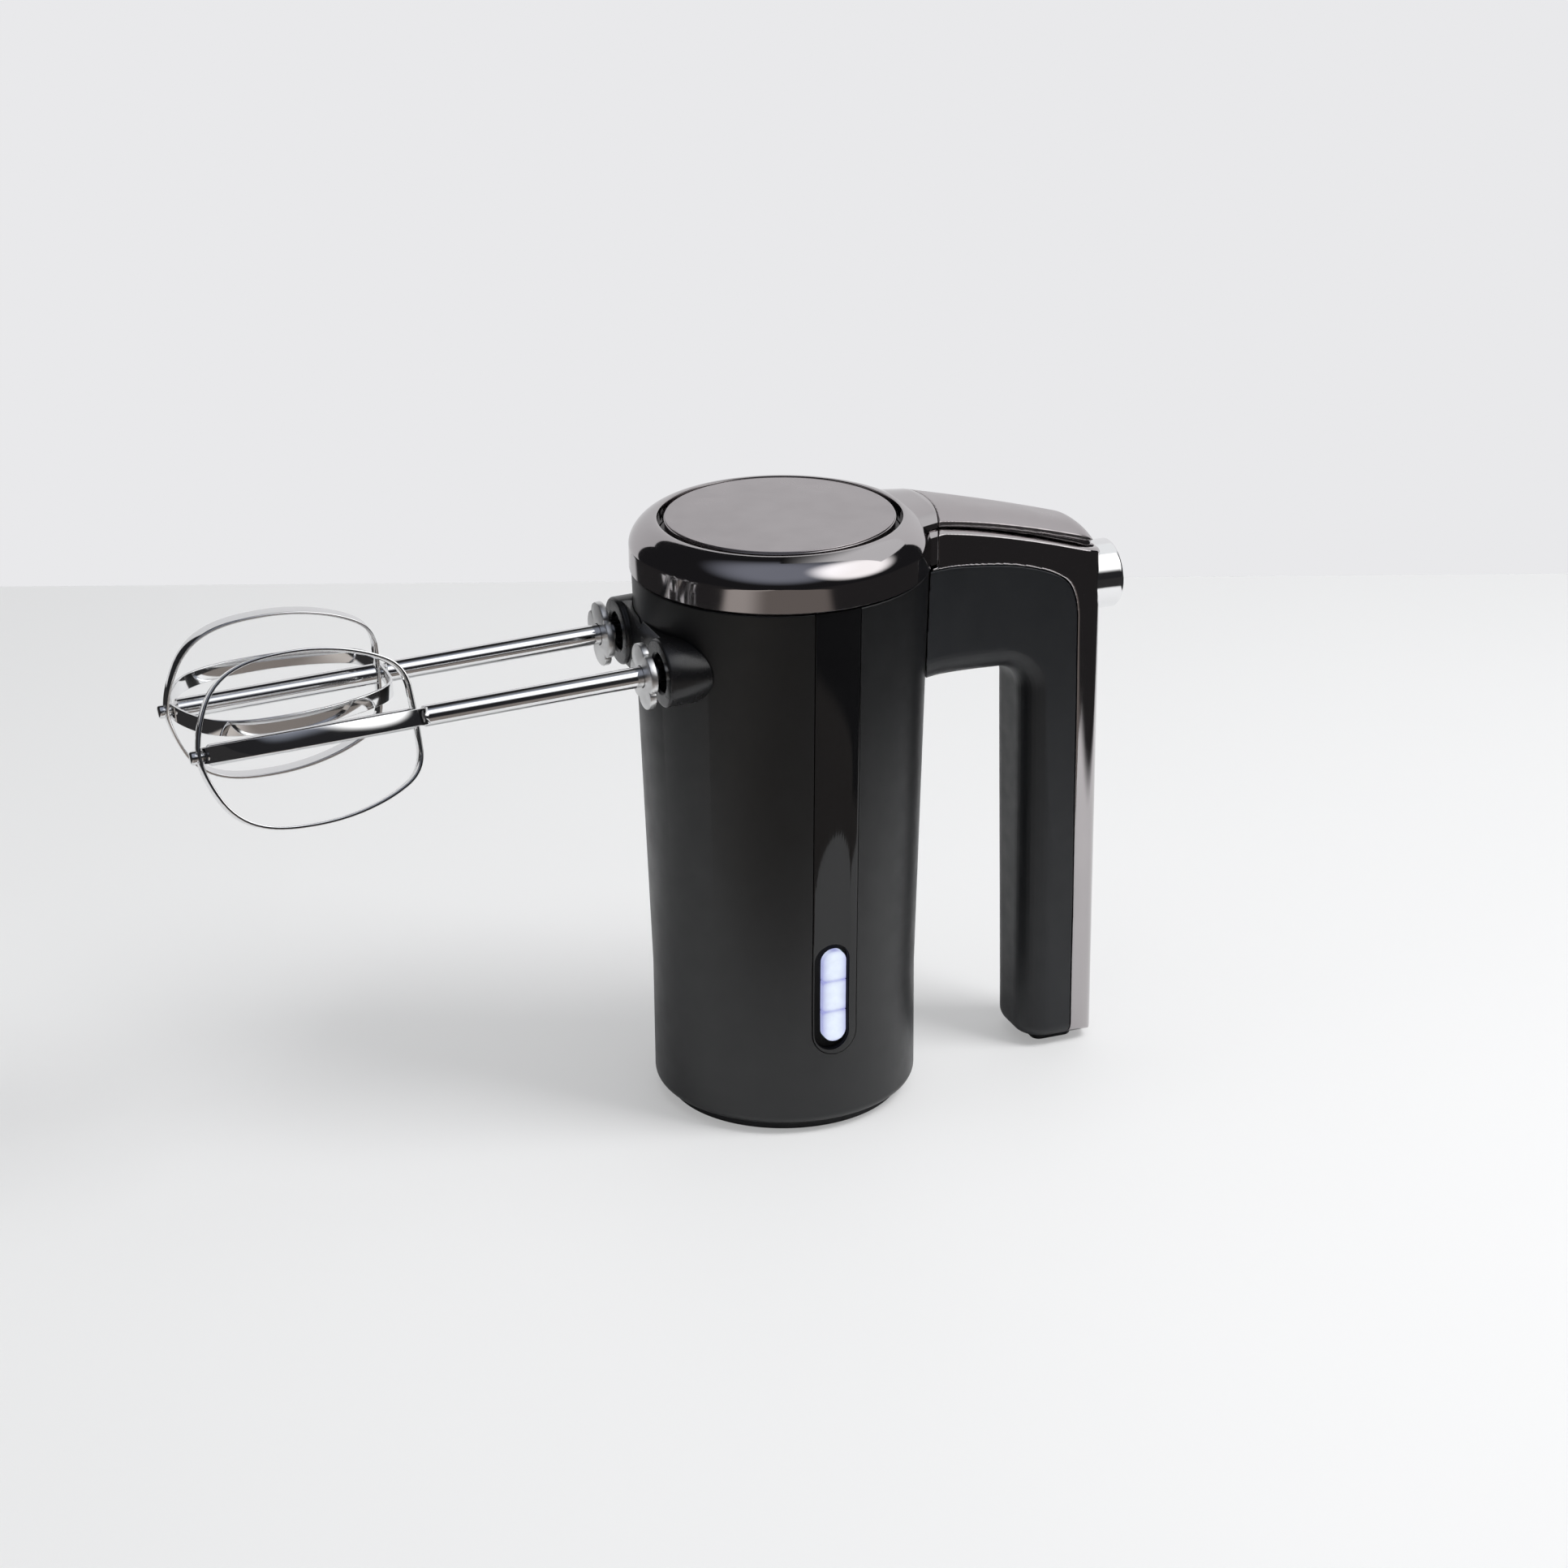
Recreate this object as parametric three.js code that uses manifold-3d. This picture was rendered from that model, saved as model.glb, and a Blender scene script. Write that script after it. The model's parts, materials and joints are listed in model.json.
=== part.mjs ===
// Cordless hand mixer: a tapered round body that stands on its foot, a looped handle,
// and two beaters driven by one worm and two worm wheels.
// Millimetres, +Z up. Origin at the centre of the foot's flat underside; the beaters
// point to -X, the handle is on +X, and the indicator strip faces -Y.
import * as THREE from 'three';
import { mergeVertices } from 'three/addons/utils/BufferGeometryUtils.js';
import Module from 'manifold-3d';

const wasm = await Module();
wasm.setup();

// ---------------------------------------------------------------- driving dimensions
const gap = 0.3;                    // clearance between pieces that touch
const bodySegments = 56;            // facets round the body, ring and dial
const seat = 0.4;                   // clearance where a disc fits inside the shell

const bodyBaseRadius = 43;          // lower, almost cylindrical part of the shell
const bodyTopRadius = 47.3;         // shell radius under the ring
const bodyHeight = 180.4;           // top edge of the shell
const taperStart = 44;              // height where the shell begins to widen
const shellWall = 2.2;
const shellEdge = 3.2;              // rounded bottom edge
const footHeight = 3;
const footInset = 4.4;
const footRadius = bodyBaseRadius - footInset;
const capInset = 6;
const capRadius = bodyBaseRadius - capInset;
const capThickness = 3.4;

const ringProud = 0.7;              // the ring stands this far out of the shell
const ringRadius = bodyTopRadius + ringProud;
const ringRise = 17.9;              // height of the ring above the shell
const ringTop = bodyHeight + ringRise;
const ringBand = 10.4;              // height of the upright band of the ring
const ringSkirt = 4.2;              // part of the ring that drops inside the shell
const skirtPlay = 0.25;             // least play round the skirt's lower edge
const ringWall = 2.4;
const shoulderWidth = 9.6;          // the ring's shoulder, from its band to the dial
const lipRadius = ringRadius - shoulderWidth;        // inner edge of the ring, round the dial
const dialInset = 1.9;
const dialRadius = lipRadius - dialInset;
const dialThickness = 3.2;
const dialDrop = 0.3;               // dial surface below the ring's lip
const dialHubRadius = 3;
const sensorRadius = 9;
const sensorHeight = 5.5;

const socketDrop = 21.9;            // socket centres below the shell's top edge
const socketReach = 1.4;            // the sockets stand this far out of the shell
const socketFace = -(bodyTopRadius + socketReach);   // x of the flat faces of the sockets
const beaterTilt = THREE.MathUtils.degToRad(2.05);  // beaters dip towards their tips
const bossRadius = 11;
const socketBore = 6.3;
const bossSleeve = 8.6;             // sleeve of a socket where it passes the shell
const webRecess = 1.5;

const wormPitchRadius = 4.5;
const wheelTeeth = 24;
const toothAddendum = 1.15;
const toothRootClearance = 0.35;
const wheelWidth = 5;
const wheelRoom = 7.3;              // room between a worm wheel and the shell
const spindleRadius = 5;
const spindleWall = 1.4;
const bushWall = 2.8;
const bushLength = 5;
const frameWall = 4;
const frontWall = -17;              // x of the frame's front wall
const rearWall = 11;                // x of the frame's rear wall

const shaftRadius = 3.3;            // beater shaft
const neckRadius = 1.5;             // the shaft where it passes through the strips
const pegRadius = 2.1;              // rivet head at the tip
const pegLength = 2;
const beaterReach = 149.2;          // socket face to beater tip
const loopStart = 77;               // socket face to the loops
const loopRadius = 26.8;
const stripThickness = 1;
const stripWidth = 5.2;
const collarRadius = 10.5;
const collarThickness = 2.2;
const collarOffset = 3.7;           // collar in front of the socket face
const beaterPhase = { left: 0, right: -22.5 };   // degrees; the beaters mesh out of step

const motorRadius = 20;
const motorWall = 1.2;
const motorShaftRadius = 2;
const fanRadius = 24;
const fanHeight = 6;
const cellRadius = 9;
const cellLength = 65;
const cellRing = 22;                // cell centres from the body's axis

const fingerGap = 34.3;             // body to the foot of the handle
const legDepth = 27.8;
const legTaper = 1.4;               // the leg is this much deeper where it meets the arm
const legEnd = 3.5;                 // underside of the leg above the table
const legHalfWidth = 13.8;
const armUnderside = bodyHeight - 41.5;              // where the arm meets the leg
const armRise = 1.8;                // the arm's underside rises this far towards the body
const rootFlare = 6.4;              // extra half width where the arm meets the body
const stripDepth = 11.4;            // spine thickness at the back of the leg
const innerCorner = 9;
const gripRound = 5.8;                // rounding of the edges the fingers close round
const legEndRound = 5;
const coverRise = 3.8;              // crown of the cover above its lower edge
const coverCrown = 1.9;             // how far the crown falls to its sides
const rearRound = 8.5;              // rounding of the handle's upper rear corner
const cavityHalfWidth = 8.3;
const buttonRadius = 11.3;
const buttonReach = 6.8;           // button stands this far out of the handle
const buttonTravel = 6;
const buttonZ = bodyHeight - 17.6;
const rodRadius = 2.8;

const inlayHalfWidth = 7.5;
const inlayBottom = 28;
const inlayThickness = 0.9;
const inlayBearing = THREE.MathUtils.degToRad(1.2);
const lensHalfWidth = 4.2;
const lensBottom = 31;
const lensTop = 66;
const portZ = 22;                   // charging socket height
const portSize = { width: 13, height: 8, depth: 9 };

// ---------------------------------------------------------------- derived places
const capTop = footHeight + gap + capThickness;
const spindleZ = bodyHeight - socketDrop;        // at the socket face
const socketSlope = Math.tan(beaterTilt);
const axisZ = spindleZ - socketFace * socketSlope;   // spindle height over the body's axis
const shellInnerAtSpindle = bodyRadius(axisZ) - shellWall;
const wheelPitchRadius = (shellInnerAtSpindle - wheelRoom - wormPitchRadius - toothAddendum + gap) / 2;
const halfSpacing = wheelPitchRadius + wormPitchRadius;
const wormLead = 2 * Math.PI * wheelPitchRadius / wheelTeeth;
const wheelOuter = wheelPitchRadius + toothAddendum;
const wormHalf = Math.round(wheelOuter - 6);     // the worm ends clear of its bearings, in whole millimetres
const frameFloor = axisZ - wheelOuter - 4.5;     // underside of the gearbox floor
const frameFloorTop = frameFloor + 3;
const frameTop = axisZ + wheelOuter - 1.2;
const holderFloor = capTop + gap;
const cellBottom = holderFloor + 3;
const batteryTop = cellBottom + cellLength;
const fanBottom = batteryTop + 3;
const motorBottom = fanBottom + fanHeight + 3;
const motorTop = frameFloor - gap;
const legFront = bodyTopRadius + fingerGap;
const legBack = legFront + legDepth;
const spineFront = legBack - stripDepth;
const dialTop = ringTop - dialDrop;
const seatFloor = ringTop - 9.5;

// ---------------------------------------------------------------- solid helpers
function toManifold(geometry) {
  const bare = geometry.clone();
  bare.deleteAttribute('normal');
  bare.deleteAttribute('uv');
  const merged = mergeVertices(bare, 1e-4);
  const vertProperties = new Float32Array(merged.attributes.position.array);
  const index = merged.index.array;
  const kept = [];
  let volume = 0;
  const corner = i => new THREE.Vector3().fromArray(vertProperties, 3 * i);
  for (let i = 0; i < index.length; i += 3) {
    const [a, b, c] = [index[i], index[i + 1], index[i + 2]];
    if (a === b || b === c || c === a) continue;
    kept.push(a, b, c);
    volume += corner(a).dot(corner(b).cross(corner(c)));
  }
  const triVerts = new Uint32Array(volume < 0 ? kept.reverse() : kept);
  return new wasm.Manifold(new wasm.Mesh({ numProp: 3, vertProperties, triVerts }));
}

function toGeometry(solid) {
  const { vertProperties, triVerts } = solid.getMesh();
  const geometry = new THREE.BufferGeometry();
  geometry.setAttribute('position', new THREE.BufferAttribute(new Float32Array(vertProperties), 3));
  geometry.setIndex(new THREE.BufferAttribute(new Uint32Array(triVerts), 1));
  geometry.computeVertexNormals();
  return geometry;
}

const join = (first, ...rest) => rest.reduce((sum, part) => sum.add(part), first);
const cut = (first, ...rest) => rest.reduce((left, tool) => left.subtract(tool), first);
const common = (first, ...rest) => rest.reduce((shared, part) => shared.intersect(part), first);

function turned(points, segments = 48) {
  const outline = points.map(([radius, z]) => new THREE.Vector2(radius, z));
  return toManifold(new THREE.LatheGeometry(outline, segments).rotateX(Math.PI / 2));
}

function ringSolid(inner, outer, low, high, segments = 20) {
  return turned([[inner, low], [outer, low], [outer, high], [inner, high], [inner, low]], segments);
}

function rod(radius, low, high, segments = 20) {
  return turned([[0, low], [radius, low], [radius, high], [0, high]], segments);
}

function block(x0, x1, y0, y1, z0, z1) {
  const box = new THREE.BoxGeometry(x1 - x0, y1 - y0, z1 - z0);
  return toManifold(box.translate((x0 + x1) / 2, (y0 + y1) / 2, (z0 + z1) / 2));
}

// A shape drawn in x and z, given thickness along y.
function sideSlab(shape, halfWidth, curveSegments = 8) {
  const options = { depth: 2 * halfWidth, bevelEnabled: false, curveSegments };
  const geometry = new THREE.ExtrudeGeometry(shape, options);
  return toManifold(geometry.translate(0, 0, -halfWidth).rotateX(Math.PI / 2));
}

// A shape drawn in x and y, given height along z.
function planSlab(shape, low, high, curveSegments = 8) {
  const options = { depth: high - low, bevelEnabled: false, curveSegments };
  return toManifold(new THREE.ExtrudeGeometry(shape, options).translate(0, 0, low));
}

const polygon = points => new THREE.Shape(points.map(([u, v]) => new THREE.Vector2(u, v)));
const place = (solid, matrix) => solid.transform(matrix.elements);
const moved = (solid, x, y, z) => solid.translate([x, y, z]);

// Local +Z of the tool becomes the given direction, its origin the given point.
function aimed(solid, point, direction) {
  const turn = new THREE.Quaternion().setFromUnitVectors(new THREE.Vector3(0, 0, 1), direction);
  return place(solid, new THREE.Matrix4().compose(point, turn, new THREE.Vector3(1, 1, 1)));
}

function roundedPlate(x0, x1, halfWidth, radius) {
  const shape = new THREE.Shape();
  shape.absarc(x0 + radius, radius - halfWidth, radius, Math.PI, 1.5 * Math.PI, false);
  shape.absarc(x1 - radius, radius - halfWidth, radius, 1.5 * Math.PI, 2 * Math.PI, false);
  shape.absarc(x1 - radius, halfWidth - radius, radius, 0, 0.5 * Math.PI, false);
  shape.absarc(x0 + radius, halfWidth - radius, radius, 0.5 * Math.PI, Math.PI, false);
  return shape;
}

function stadium(halfWidth, low, high, open = 0) {
  const r = halfWidth + open;
  const shape = new THREE.Shape();
  shape.absarc(0, low + halfWidth, r, Math.PI, 2 * Math.PI, false);
  shape.absarc(0, high - halfWidth, r, 0, Math.PI, false);
  return shape;
}

// ---------------------------------------------------------------- finishes
const finish = (color, roughness, metalness) =>
  new THREE.MeshStandardMaterial({ color, roughness, metalness });
const finishes = {
  matteBlack: finish(0x1c1c1e, 0.55, 0),
  gripBlack: finish(0x1f2023, 0.6, 0),
  glossBlack: finish(0x08080a, 0.12, 0),
  gunmetal: finish(0x7d7678, 0.32, 1),
  darkChrome: finish(0x4a4546, 0.14, 1),
  chrome: finish(0xc8c9cb, 0.1, 1),
  steel: finish(0x9a9c9f, 0.35, 1),
  brass: finish(0xb08d57, 0.4, 1),
  rubber: finish(0x111112, 0.9, 0),
  innerPlastic: finish(0x3a3b3e, 0.6, 0),
  nylon: finish(0xd9d4c4, 0.5, 0),
  board: finish(0x1e5a38, 0.6, 0),
  glow: finish(0xdfe3ff, 0.3, 0),
  cell: finish(0x2d5f9a, 0.4, 0),
};

const mixer = new THREE.Group();
function piece(name, solid, material) {
  const mesh = new THREE.Mesh(solid.isBufferGeometry ? solid : toGeometry(solid), finishes[material]);
  mesh.name = name;
  mixer.add(mesh);
}

// ---------------------------------------------------------------- body shell
function bodyRadius(z) {
  const rise = Math.max(0, z - taperStart) / (bodyHeight - taperStart);
  return bodyBaseRadius + (bodyTopRadius - bodyBaseRadius) * rise;
}

const bodyPoint = (offset, z) => [bodyRadius(z) + offset, z];

// Everything inside the shell's outer face, moved outward by the given distance.
function bodyFill(offset, low = -5, high = bodyHeight + 30) {
  const side = [low, taperStart, high].map(z => bodyPoint(offset, z));
  return turned([[0, low], ...side, [0, high]], bodySegments);
}

const bearingTurn = new THREE.Matrix4().makeRotationZ(inlayBearing);
function inlayTool(halfWidth, low, high, open) {
  const tall = sideSlab(stadium(halfWidth, low, high, open), 100, 10);
  return place(common(tall, block(-30, 30, -100, 0, -10, 400)), bearingTurn);
}

const spindleTip = new THREE.Vector3(-Math.cos(beaterTilt), 0, -Math.sin(beaterTilt));
const spindlePoint = (side, along) =>
  new THREE.Vector3(socketFace, side * halfSpacing, spindleZ).addScaledVector(spindleTip, along);
const alongSpindle = (solid, side) => aimed(solid, spindlePoint(side, 0), spindleTip);
const sides = { left: 1, right: -1 };

const cavityLow = armUnderside + 11;
const cavityHigh = buttonZ + 11.4;

function bodyShell() {
  const bottom = footHeight + gap;
  const step = capTop + 1;
  const edge = [0, 30, 60, 90].map(THREE.MathUtils.degToRad).map(a =>
    [bodyBaseRadius - shellEdge + shellEdge * Math.sin(a), bottom + shellEdge * (1 - Math.cos(a))]);
  const outer = [bodyPoint(0, taperStart), bodyPoint(0, bodyHeight)];
  const inner = [bodyPoint(-shellWall, bodyHeight), bodyPoint(-shellWall, taperStart)];
  const outline = [[capRadius + gap, bottom], ...edge, ...outer, ...inner,
    [bodyBaseRadius - shellWall, step + 3], [capRadius + gap, step]];
  let shell = turned([...outline, outline[0]], bodySegments);
  const groove = common(
    cut(bodyFill(5), bodyFill(-inlayThickness - gap)),
    inlayTool(inlayHalfWidth, inlayBottom, bodyHeight + 20, gap));
  const lensSlot = inlayTool(lensHalfWidth, lensBottom, lensTop, gap);
  shell = cut(shell, groove, common(lensSlot, cut(bodyFill(5), bodyFill(-8))));
  for (const side of Object.values(sides)) {
    shell = cut(shell, alongSpindle(rod(bossSleeve + gap, -25, 10), side));
  }
  const handleMouth = block(20, 60, -cavityHalfWidth, cavityHalfWidth, cavityLow, cavityHigh);
  const { width, height } = portSize;
  const port = block(20, 60, -width / 2 - gap, width / 2 + gap,
    portZ - height / 2 - gap, portZ + height / 2 + gap);
  return cut(shell, handleMouth, port, ...handleScrews(screwRadius + gap, headRadius + gap));
}

// ---------------------------------------------------------------- screws
const screwRadius = 1.5;
const headRadius = 2.8;
const headHeight = 2;
const screwTool = (radius, head, length) =>
  turned([[0, 0], [head, 0], [head, headHeight], [radius, headHeight], [radius, length], [0, length]], 12);

const handleScrewSpread = cavityHalfWidth + 4;
const handleScrewZ = (armUnderside + ringTop) / 2 - 14;
const saddleOuter = bodyRadius(handleScrewZ) - shellWall - gap;
const saddleInner = saddleOuter - 2.8;
function handleScrews(radius, head) {
  const start = Math.sqrt(saddleInner ** 2 - handleScrewSpread ** 2) - headHeight - 0.6;
  const outward = new THREE.Vector3(1, 0, 0);
  return [1, -1].map(side => aimed(screwTool(radius, head, 17),
    new THREE.Vector3(start, side * handleScrewSpread, handleScrewZ), outward));
}

const baseScrewRing = 30;
const baseScrewAngles = [30, 150, 270].map(THREE.MathUtils.degToRad);
function baseScrews(radius, head) {
  return baseScrewAngles.map(angle => moved(screwTool(radius, head, 9.5),
    baseScrewRing * Math.cos(angle), baseScrewRing * Math.sin(angle), footHeight + gap));
}

const motorScrewRing = 11;
function motorScrews(radius, head) {
  return [1, -1].map(side => aimed(screwTool(radius, head, 8),
    new THREE.Vector3(0, side * motorScrewRing, frameFloorTop + headHeight), new THREE.Vector3(0, 0, -1)));
}

// ---------------------------------------------------------------- base
function baseParts() {
  const cap = rod(capRadius, footHeight + gap, capTop, 48);
  const holes = baseScrews(screwRadius + gap, headRadius + gap);
  piece('base_cap', cut(cap, ...holes), 'innerPlastic');
  piece('foot_pad', rod(footRadius, 0, footHeight, bodySegments), 'rubber');
  baseScrews(screwRadius, headRadius).forEach((screw, i) =>
    piece(`base_screw_${i + 1}`, screw, 'steel'));
}

// ---------------------------------------------------------------- battery and electronics
const cellAngles = [90, 210, 330].map(THREE.MathUtils.degToRad);
const atCell = (solid, angle) => moved(solid, cellRing * Math.cos(angle), cellRing * Math.sin(angle), 0);

function batteryParts() {
  const holderTop = batteryTop - 12;
  const tube = rod(cellRadius + gap + 1.6, holderFloor, holderTop, 24);
  const bore = rod(cellRadius + gap, cellBottom - gap, batteryTop, 24);
  const tubes = cellAngles.map(angle => atCell(tube, angle));
  const bores = cellAngles.map(angle => atCell(bore, angle));
  const core = rod(13, holderFloor, holderTop, 24);
  const base = rod(34, holderFloor, cellBottom - gap - 0.5, 36);
  const lug = rod(4, holderFloor, holderFloor + 7, 16);
  const lugs = baseScrewAngles.map(angle =>
    moved(lug, baseScrewRing * Math.cos(angle), baseScrewRing * Math.sin(angle), 0));
  const holder = cut(join(base, core, ...lugs, ...tubes), ...bores,
    ...baseScrews(screwRadius + gap, headRadius + gap));
  piece('battery_holder', holder, 'innerPlastic');
  const cell = turned([[0, cellBottom], [cellRadius, cellBottom], [cellRadius, batteryTop - 1],
    [3, batteryTop - 1], [3, batteryTop], [0, batteryTop]], 20);
  cellAngles.forEach((angle, i) => piece(`battery_cell_${i + 1}`, atCell(cell, angle), 'cell'));
}

function boardParts() {
  const outerFace = bodyBaseRadius - shellWall - gap;
  const halfWidth = 7;
  const face = Math.sqrt(outerFace ** 2 - halfWidth ** 2);
  const board = block(-halfWidth, halfWidth, -face, -face + 1.6, lensBottom - 6, lensTop + 6);
  piece('led_board', place(board, bearingTurn), 'board');
  const controlX = motorRadius + gap;
  const controlTop = motorTop - 3;
  piece('control_board', block(controlX, controlX + 1.6, -15, 15, motorBottom + 1, controlTop), 'board');
  const { width, height, depth } = portSize;
  const outer = common(block(bodyBaseRadius - depth, bodyBaseRadius + 5, -width / 2, width / 2,
    portZ - height / 2, portZ + height / 2), bodyFill(-0.5));
  const slot = planSlab(stadium(1.8, -4.6, 4.6), 0, 20, 6);
  const port = place(slot, new THREE.Matrix4().makeTranslation(bodyBaseRadius - 5.5, 0, portZ)
    .multiply(new THREE.Matrix4().makeRotationY(Math.PI / 2)));
  piece('charge_socket', cut(outer, port), 'glossBlack');
}

// ---------------------------------------------------------------- indicator strip
function inlayParts() {
  const skin = cut(bodyFill(0.1), bodyFill(-inlayThickness));
  const strip = common(skin, inlayTool(inlayHalfWidth, inlayBottom, bodyHeight + 20, 0),
    block(-40, 40, -80, 0, 0, bodyHeight));
  const lensHole = inlayTool(lensHalfWidth, lensBottom, lensTop, gap);
  piece('inlay_strip', cut(strip, lensHole), 'glossBlack');
  const tube = cut(bodyFill(-0.5), bodyFill(-2.6));
  const face = Math.sqrt((bodyBaseRadius - shellWall - gap) ** 2 - 49);
  const front = place(block(-20, 20, -80, -face - gap, 0, 200), bearingTurn);
  piece('led_lens', common(tube, inlayTool(lensHalfWidth, lensBottom, lensTop, 0), front), 'glow');
}

// ---------------------------------------------------------------- top ring and dial
function ringOutline() {
  const base = bodyHeight + gap;
  const bandTop = base + ringBand;
  const shoulderRun = ringRadius - 0.9 - lipRadius - 0.6;
  const shoulder = [0, 22, 45, 68, 90].map(THREE.MathUtils.degToRad).map(a =>
    [lipRadius + 0.6 + shoulderRun * Math.cos(a) ** 1.2, bandTop + (ringTop - bandTop) * Math.sin(a) ** 1.2]);
  // The shell narrows downwards, so the skirt also has to clear it at its lower edge.
  const skirtOuter = Math.min(bodyTopRadius - seat, bodyRadius(bodyHeight - ringSkirt) - skirtPlay) - shellWall;
  return [
    [skirtOuter, bodyHeight - ringSkirt], [skirtOuter, base], [ringRadius, base],
    [ringRadius - 0.3, bandTop - 0.5], ...shoulder, [lipRadius, ringTop - 0.5],
    [lipRadius, seatFloor + gap], [lipRadius - 2.6, seatFloor + gap], [lipRadius - 2.6, seatFloor - 1.8],
    [lipRadius + ringWall, seatFloor - 1.8], [lipRadius + ringWall, ringTop - 4],
    [ringRadius - ringWall - 1.6, bandTop - 1], [ringRadius - ringWall, base + 2.4],
    [skirtOuter - 1.8, base + 2.4], [skirtOuter - 1.8, bodyHeight - ringSkirt],
    [skirtOuter, bodyHeight - ringSkirt]];
}

const tongueRadius = ringRadius + 1.8;
function topParts() {
  // The ring reaches out over the root of the handle; under it the ring stays hollow.
  const inside = turned([[0, 0], [ringRadius - ringWall, 0], [ringRadius - ringWall, bodyHeight + 2.7],
    [lipRadius + ringWall, ringTop - 4], [lipRadius + 1, ringTop - 4], [lipRadius + 1, ringTop + 20],
    [0, ringTop + 20]], bodySegments);
  const reach = rod(tongueRadius, bodyHeight + gap, ringTop + 5, bodySegments);
  const tongue = cut(common(handleBlank(), reach), inside);
  piece('top_ring', join(turned(ringOutline(), bodySegments), tongue), 'darkChrome');

  const hub = dialHubRadius + gap;
  const sensorTop = seatFloor + gap + gap - 0.3;
  const rim = lipRadius - gap;
  const seatOutline = [[hub, seatFloor + 2 * gap], [rim, seatFloor + 2 * gap], [rim, dialTop - 0.9],
    [dialRadius + 0.5, dialTop - 0.9], [dialRadius + 0.5, seatFloor + 2.2], [hub, seatFloor + 2.2],
    [hub, seatFloor + 2 * gap]];
  piece('dial_seat', turned(seatOutline, bodySegments), 'glossBlack');
  const dialOutline = [[0, dialTop], [dialRadius - 0.5, dialTop], [dialRadius, dialTop - 0.5],
    [dialRadius, dialTop - dialThickness], [dialHubRadius, dialTop - dialThickness],
    [dialHubRadius, seatFloor - sensorHeight + 1.5], [0, seatFloor - sensorHeight + 1.5]];
  piece('speed_dial', turned(dialOutline, bodySegments), 'gunmetal');
  const well = rod(hub, seatFloor - sensorHeight + 1.2, 400);
  piece('dial_sensor', cut(rod(sensorRadius, seatFloor - sensorHeight, sensorTop), well), 'innerPlastic');
}

// ---------------------------------------------------------------- handle
function handleHalfWidth(x) {
  const roundFrom = legBack - 10;
  const flare = rootFlare * Math.exp(-(x - bodyTopRadius + 1.3) / 20);
  const past = Math.max(0, x - roundFrom) / (legBack - roundFrom);
  return (legHalfWidth + flare) * Math.pow(Math.max(0, 1 - past ** 2.5), 0.4);
}

// Height of the cover's lower edge.
function coverEdge(x) {
  const share = Math.max(0, (x - ringRadius) / (legBack - ringRadius));
  return ringTop - 4.6 - 12 * share - 4.2 * share ** 2;
}

function handleTop(x, y) {
  const past = Math.min(1, Math.max(0, (x - legBack + rearRound) / rearRound));
  const corner = rearRound * (1 - Math.sqrt(1 - past ** 2));
  const halfWidth = legHalfWidth + rootFlare * Math.exp(-(x - bodyTopRadius) / 20);
  const across = Math.min(1.3, Math.abs(y) / halfWidth);
  return coverEdge(x) + coverRise - corner - coverCrown * across ** 2.6;
}

// The crowned top of the handle, as the solid below it.
function underTop(low) {
  const [x0, x1, halfY] = [30, legBack, 28];
  const geometry = new THREE.BoxGeometry(x1 - x0, 2 * halfY, 1, 20, 10, 1);
  geometry.translate((x0 + x1) / 2, 0, 0);
  const spots = geometry.attributes.position;
  for (let i = 0; i < spots.count; i++) {
    const x = spots.getX(i);
    spots.setZ(i, spots.getZ(i) > 0 ? handleTop(x, spots.getY(i)) : low);
  }
  return toManifold(geometry);
}

function planOutline(from) {
  const stations = [];
  const steps = 16;
  for (let i = 0; i <= steps; i++) {
    const x = THREE.MathUtils.lerp(from, legBack, 1 - (1 - i / steps) ** 1.6);
    stations.push([x, handleHalfWidth(x)]);
  }
  const near = stations.map(([x, half]) => [x, -half]);
  const far = stations.map(([x, half]) => [x, half]).reverse();
  return polygon([...near, ...far.slice(1)]);
}

// A section across the handle: it starts on the inner side of the loop, where its edges
// are rounded, and runs outward for the given depth.
function gripSection(x, z, bearing, halfWidth, depth, round = gripRound) {
  const points = [];
  for (const side of [-1, 1]) {
    const turns = [0, 1, 2, 3, 4].map(i => (side < 0 ? i : 4 - i) * Math.PI / 8);
    const corner = turns.map(a =>
      [round * (1 - Math.sin(a)), side * (halfWidth - round + round * Math.cos(a))]);
    points.push(...(side < 0 ? [[depth, -halfWidth], ...corner] : [...corner, [depth, halfWidth]]));
  }
  const [runX, runZ] = [Math.sin(bearing), Math.cos(bearing)];
  return points.map(([out, y]) => [x + out * runX, y, z + out * runZ]);
}

// The arm, the inner corner and the leg as one smooth run of sections.
function gripRun() {
  const cornerX = legFront - legTaper - innerCorner;
  const cornerZ = armUnderside - innerCorner;
  const far = 90;
  const sections = [];
  for (const share of [-0.9, -0.1, 0.15, 0.4, 0.7]) {
    const x = THREE.MathUtils.lerp(ringRadius, cornerX, share);
    const low = armUnderside + armRise * (1 - Math.max(0, share));
    sections.push(gripSection(x, low, 0, handleHalfWidth(x), far));
  }
  for (let i = 0; i <= 6; i++) {
    const bearing = i * Math.PI / 12;
    const [x, z] = [cornerX + innerCorner * Math.sin(bearing), cornerZ + innerCorner * Math.cos(bearing)];
    sections.push(gripSection(x, z, bearing, handleHalfWidth(x), far));
  }
  const depth = legDepth + legTaper + 0.5;
  sections.push(gripSection(legFront - legTaper, cornerZ - 0.5, Math.PI / 2, legHalfWidth, depth));
  for (const a of [0, 30, 60, 90].map(THREE.MathUtils.degToRad)) {
    const inset = legEndRound * (1 - Math.cos(a));
    const z = legEnd + legEndRound * (1 - Math.sin(a));
    sections.push(gripSection(legFront + inset, z, Math.PI / 2, legHalfWidth - inset,
      legDepth + 0.5 - 2 * inset, gripRound - inset / 2));
  }
  return lofted(sections);
}

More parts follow.
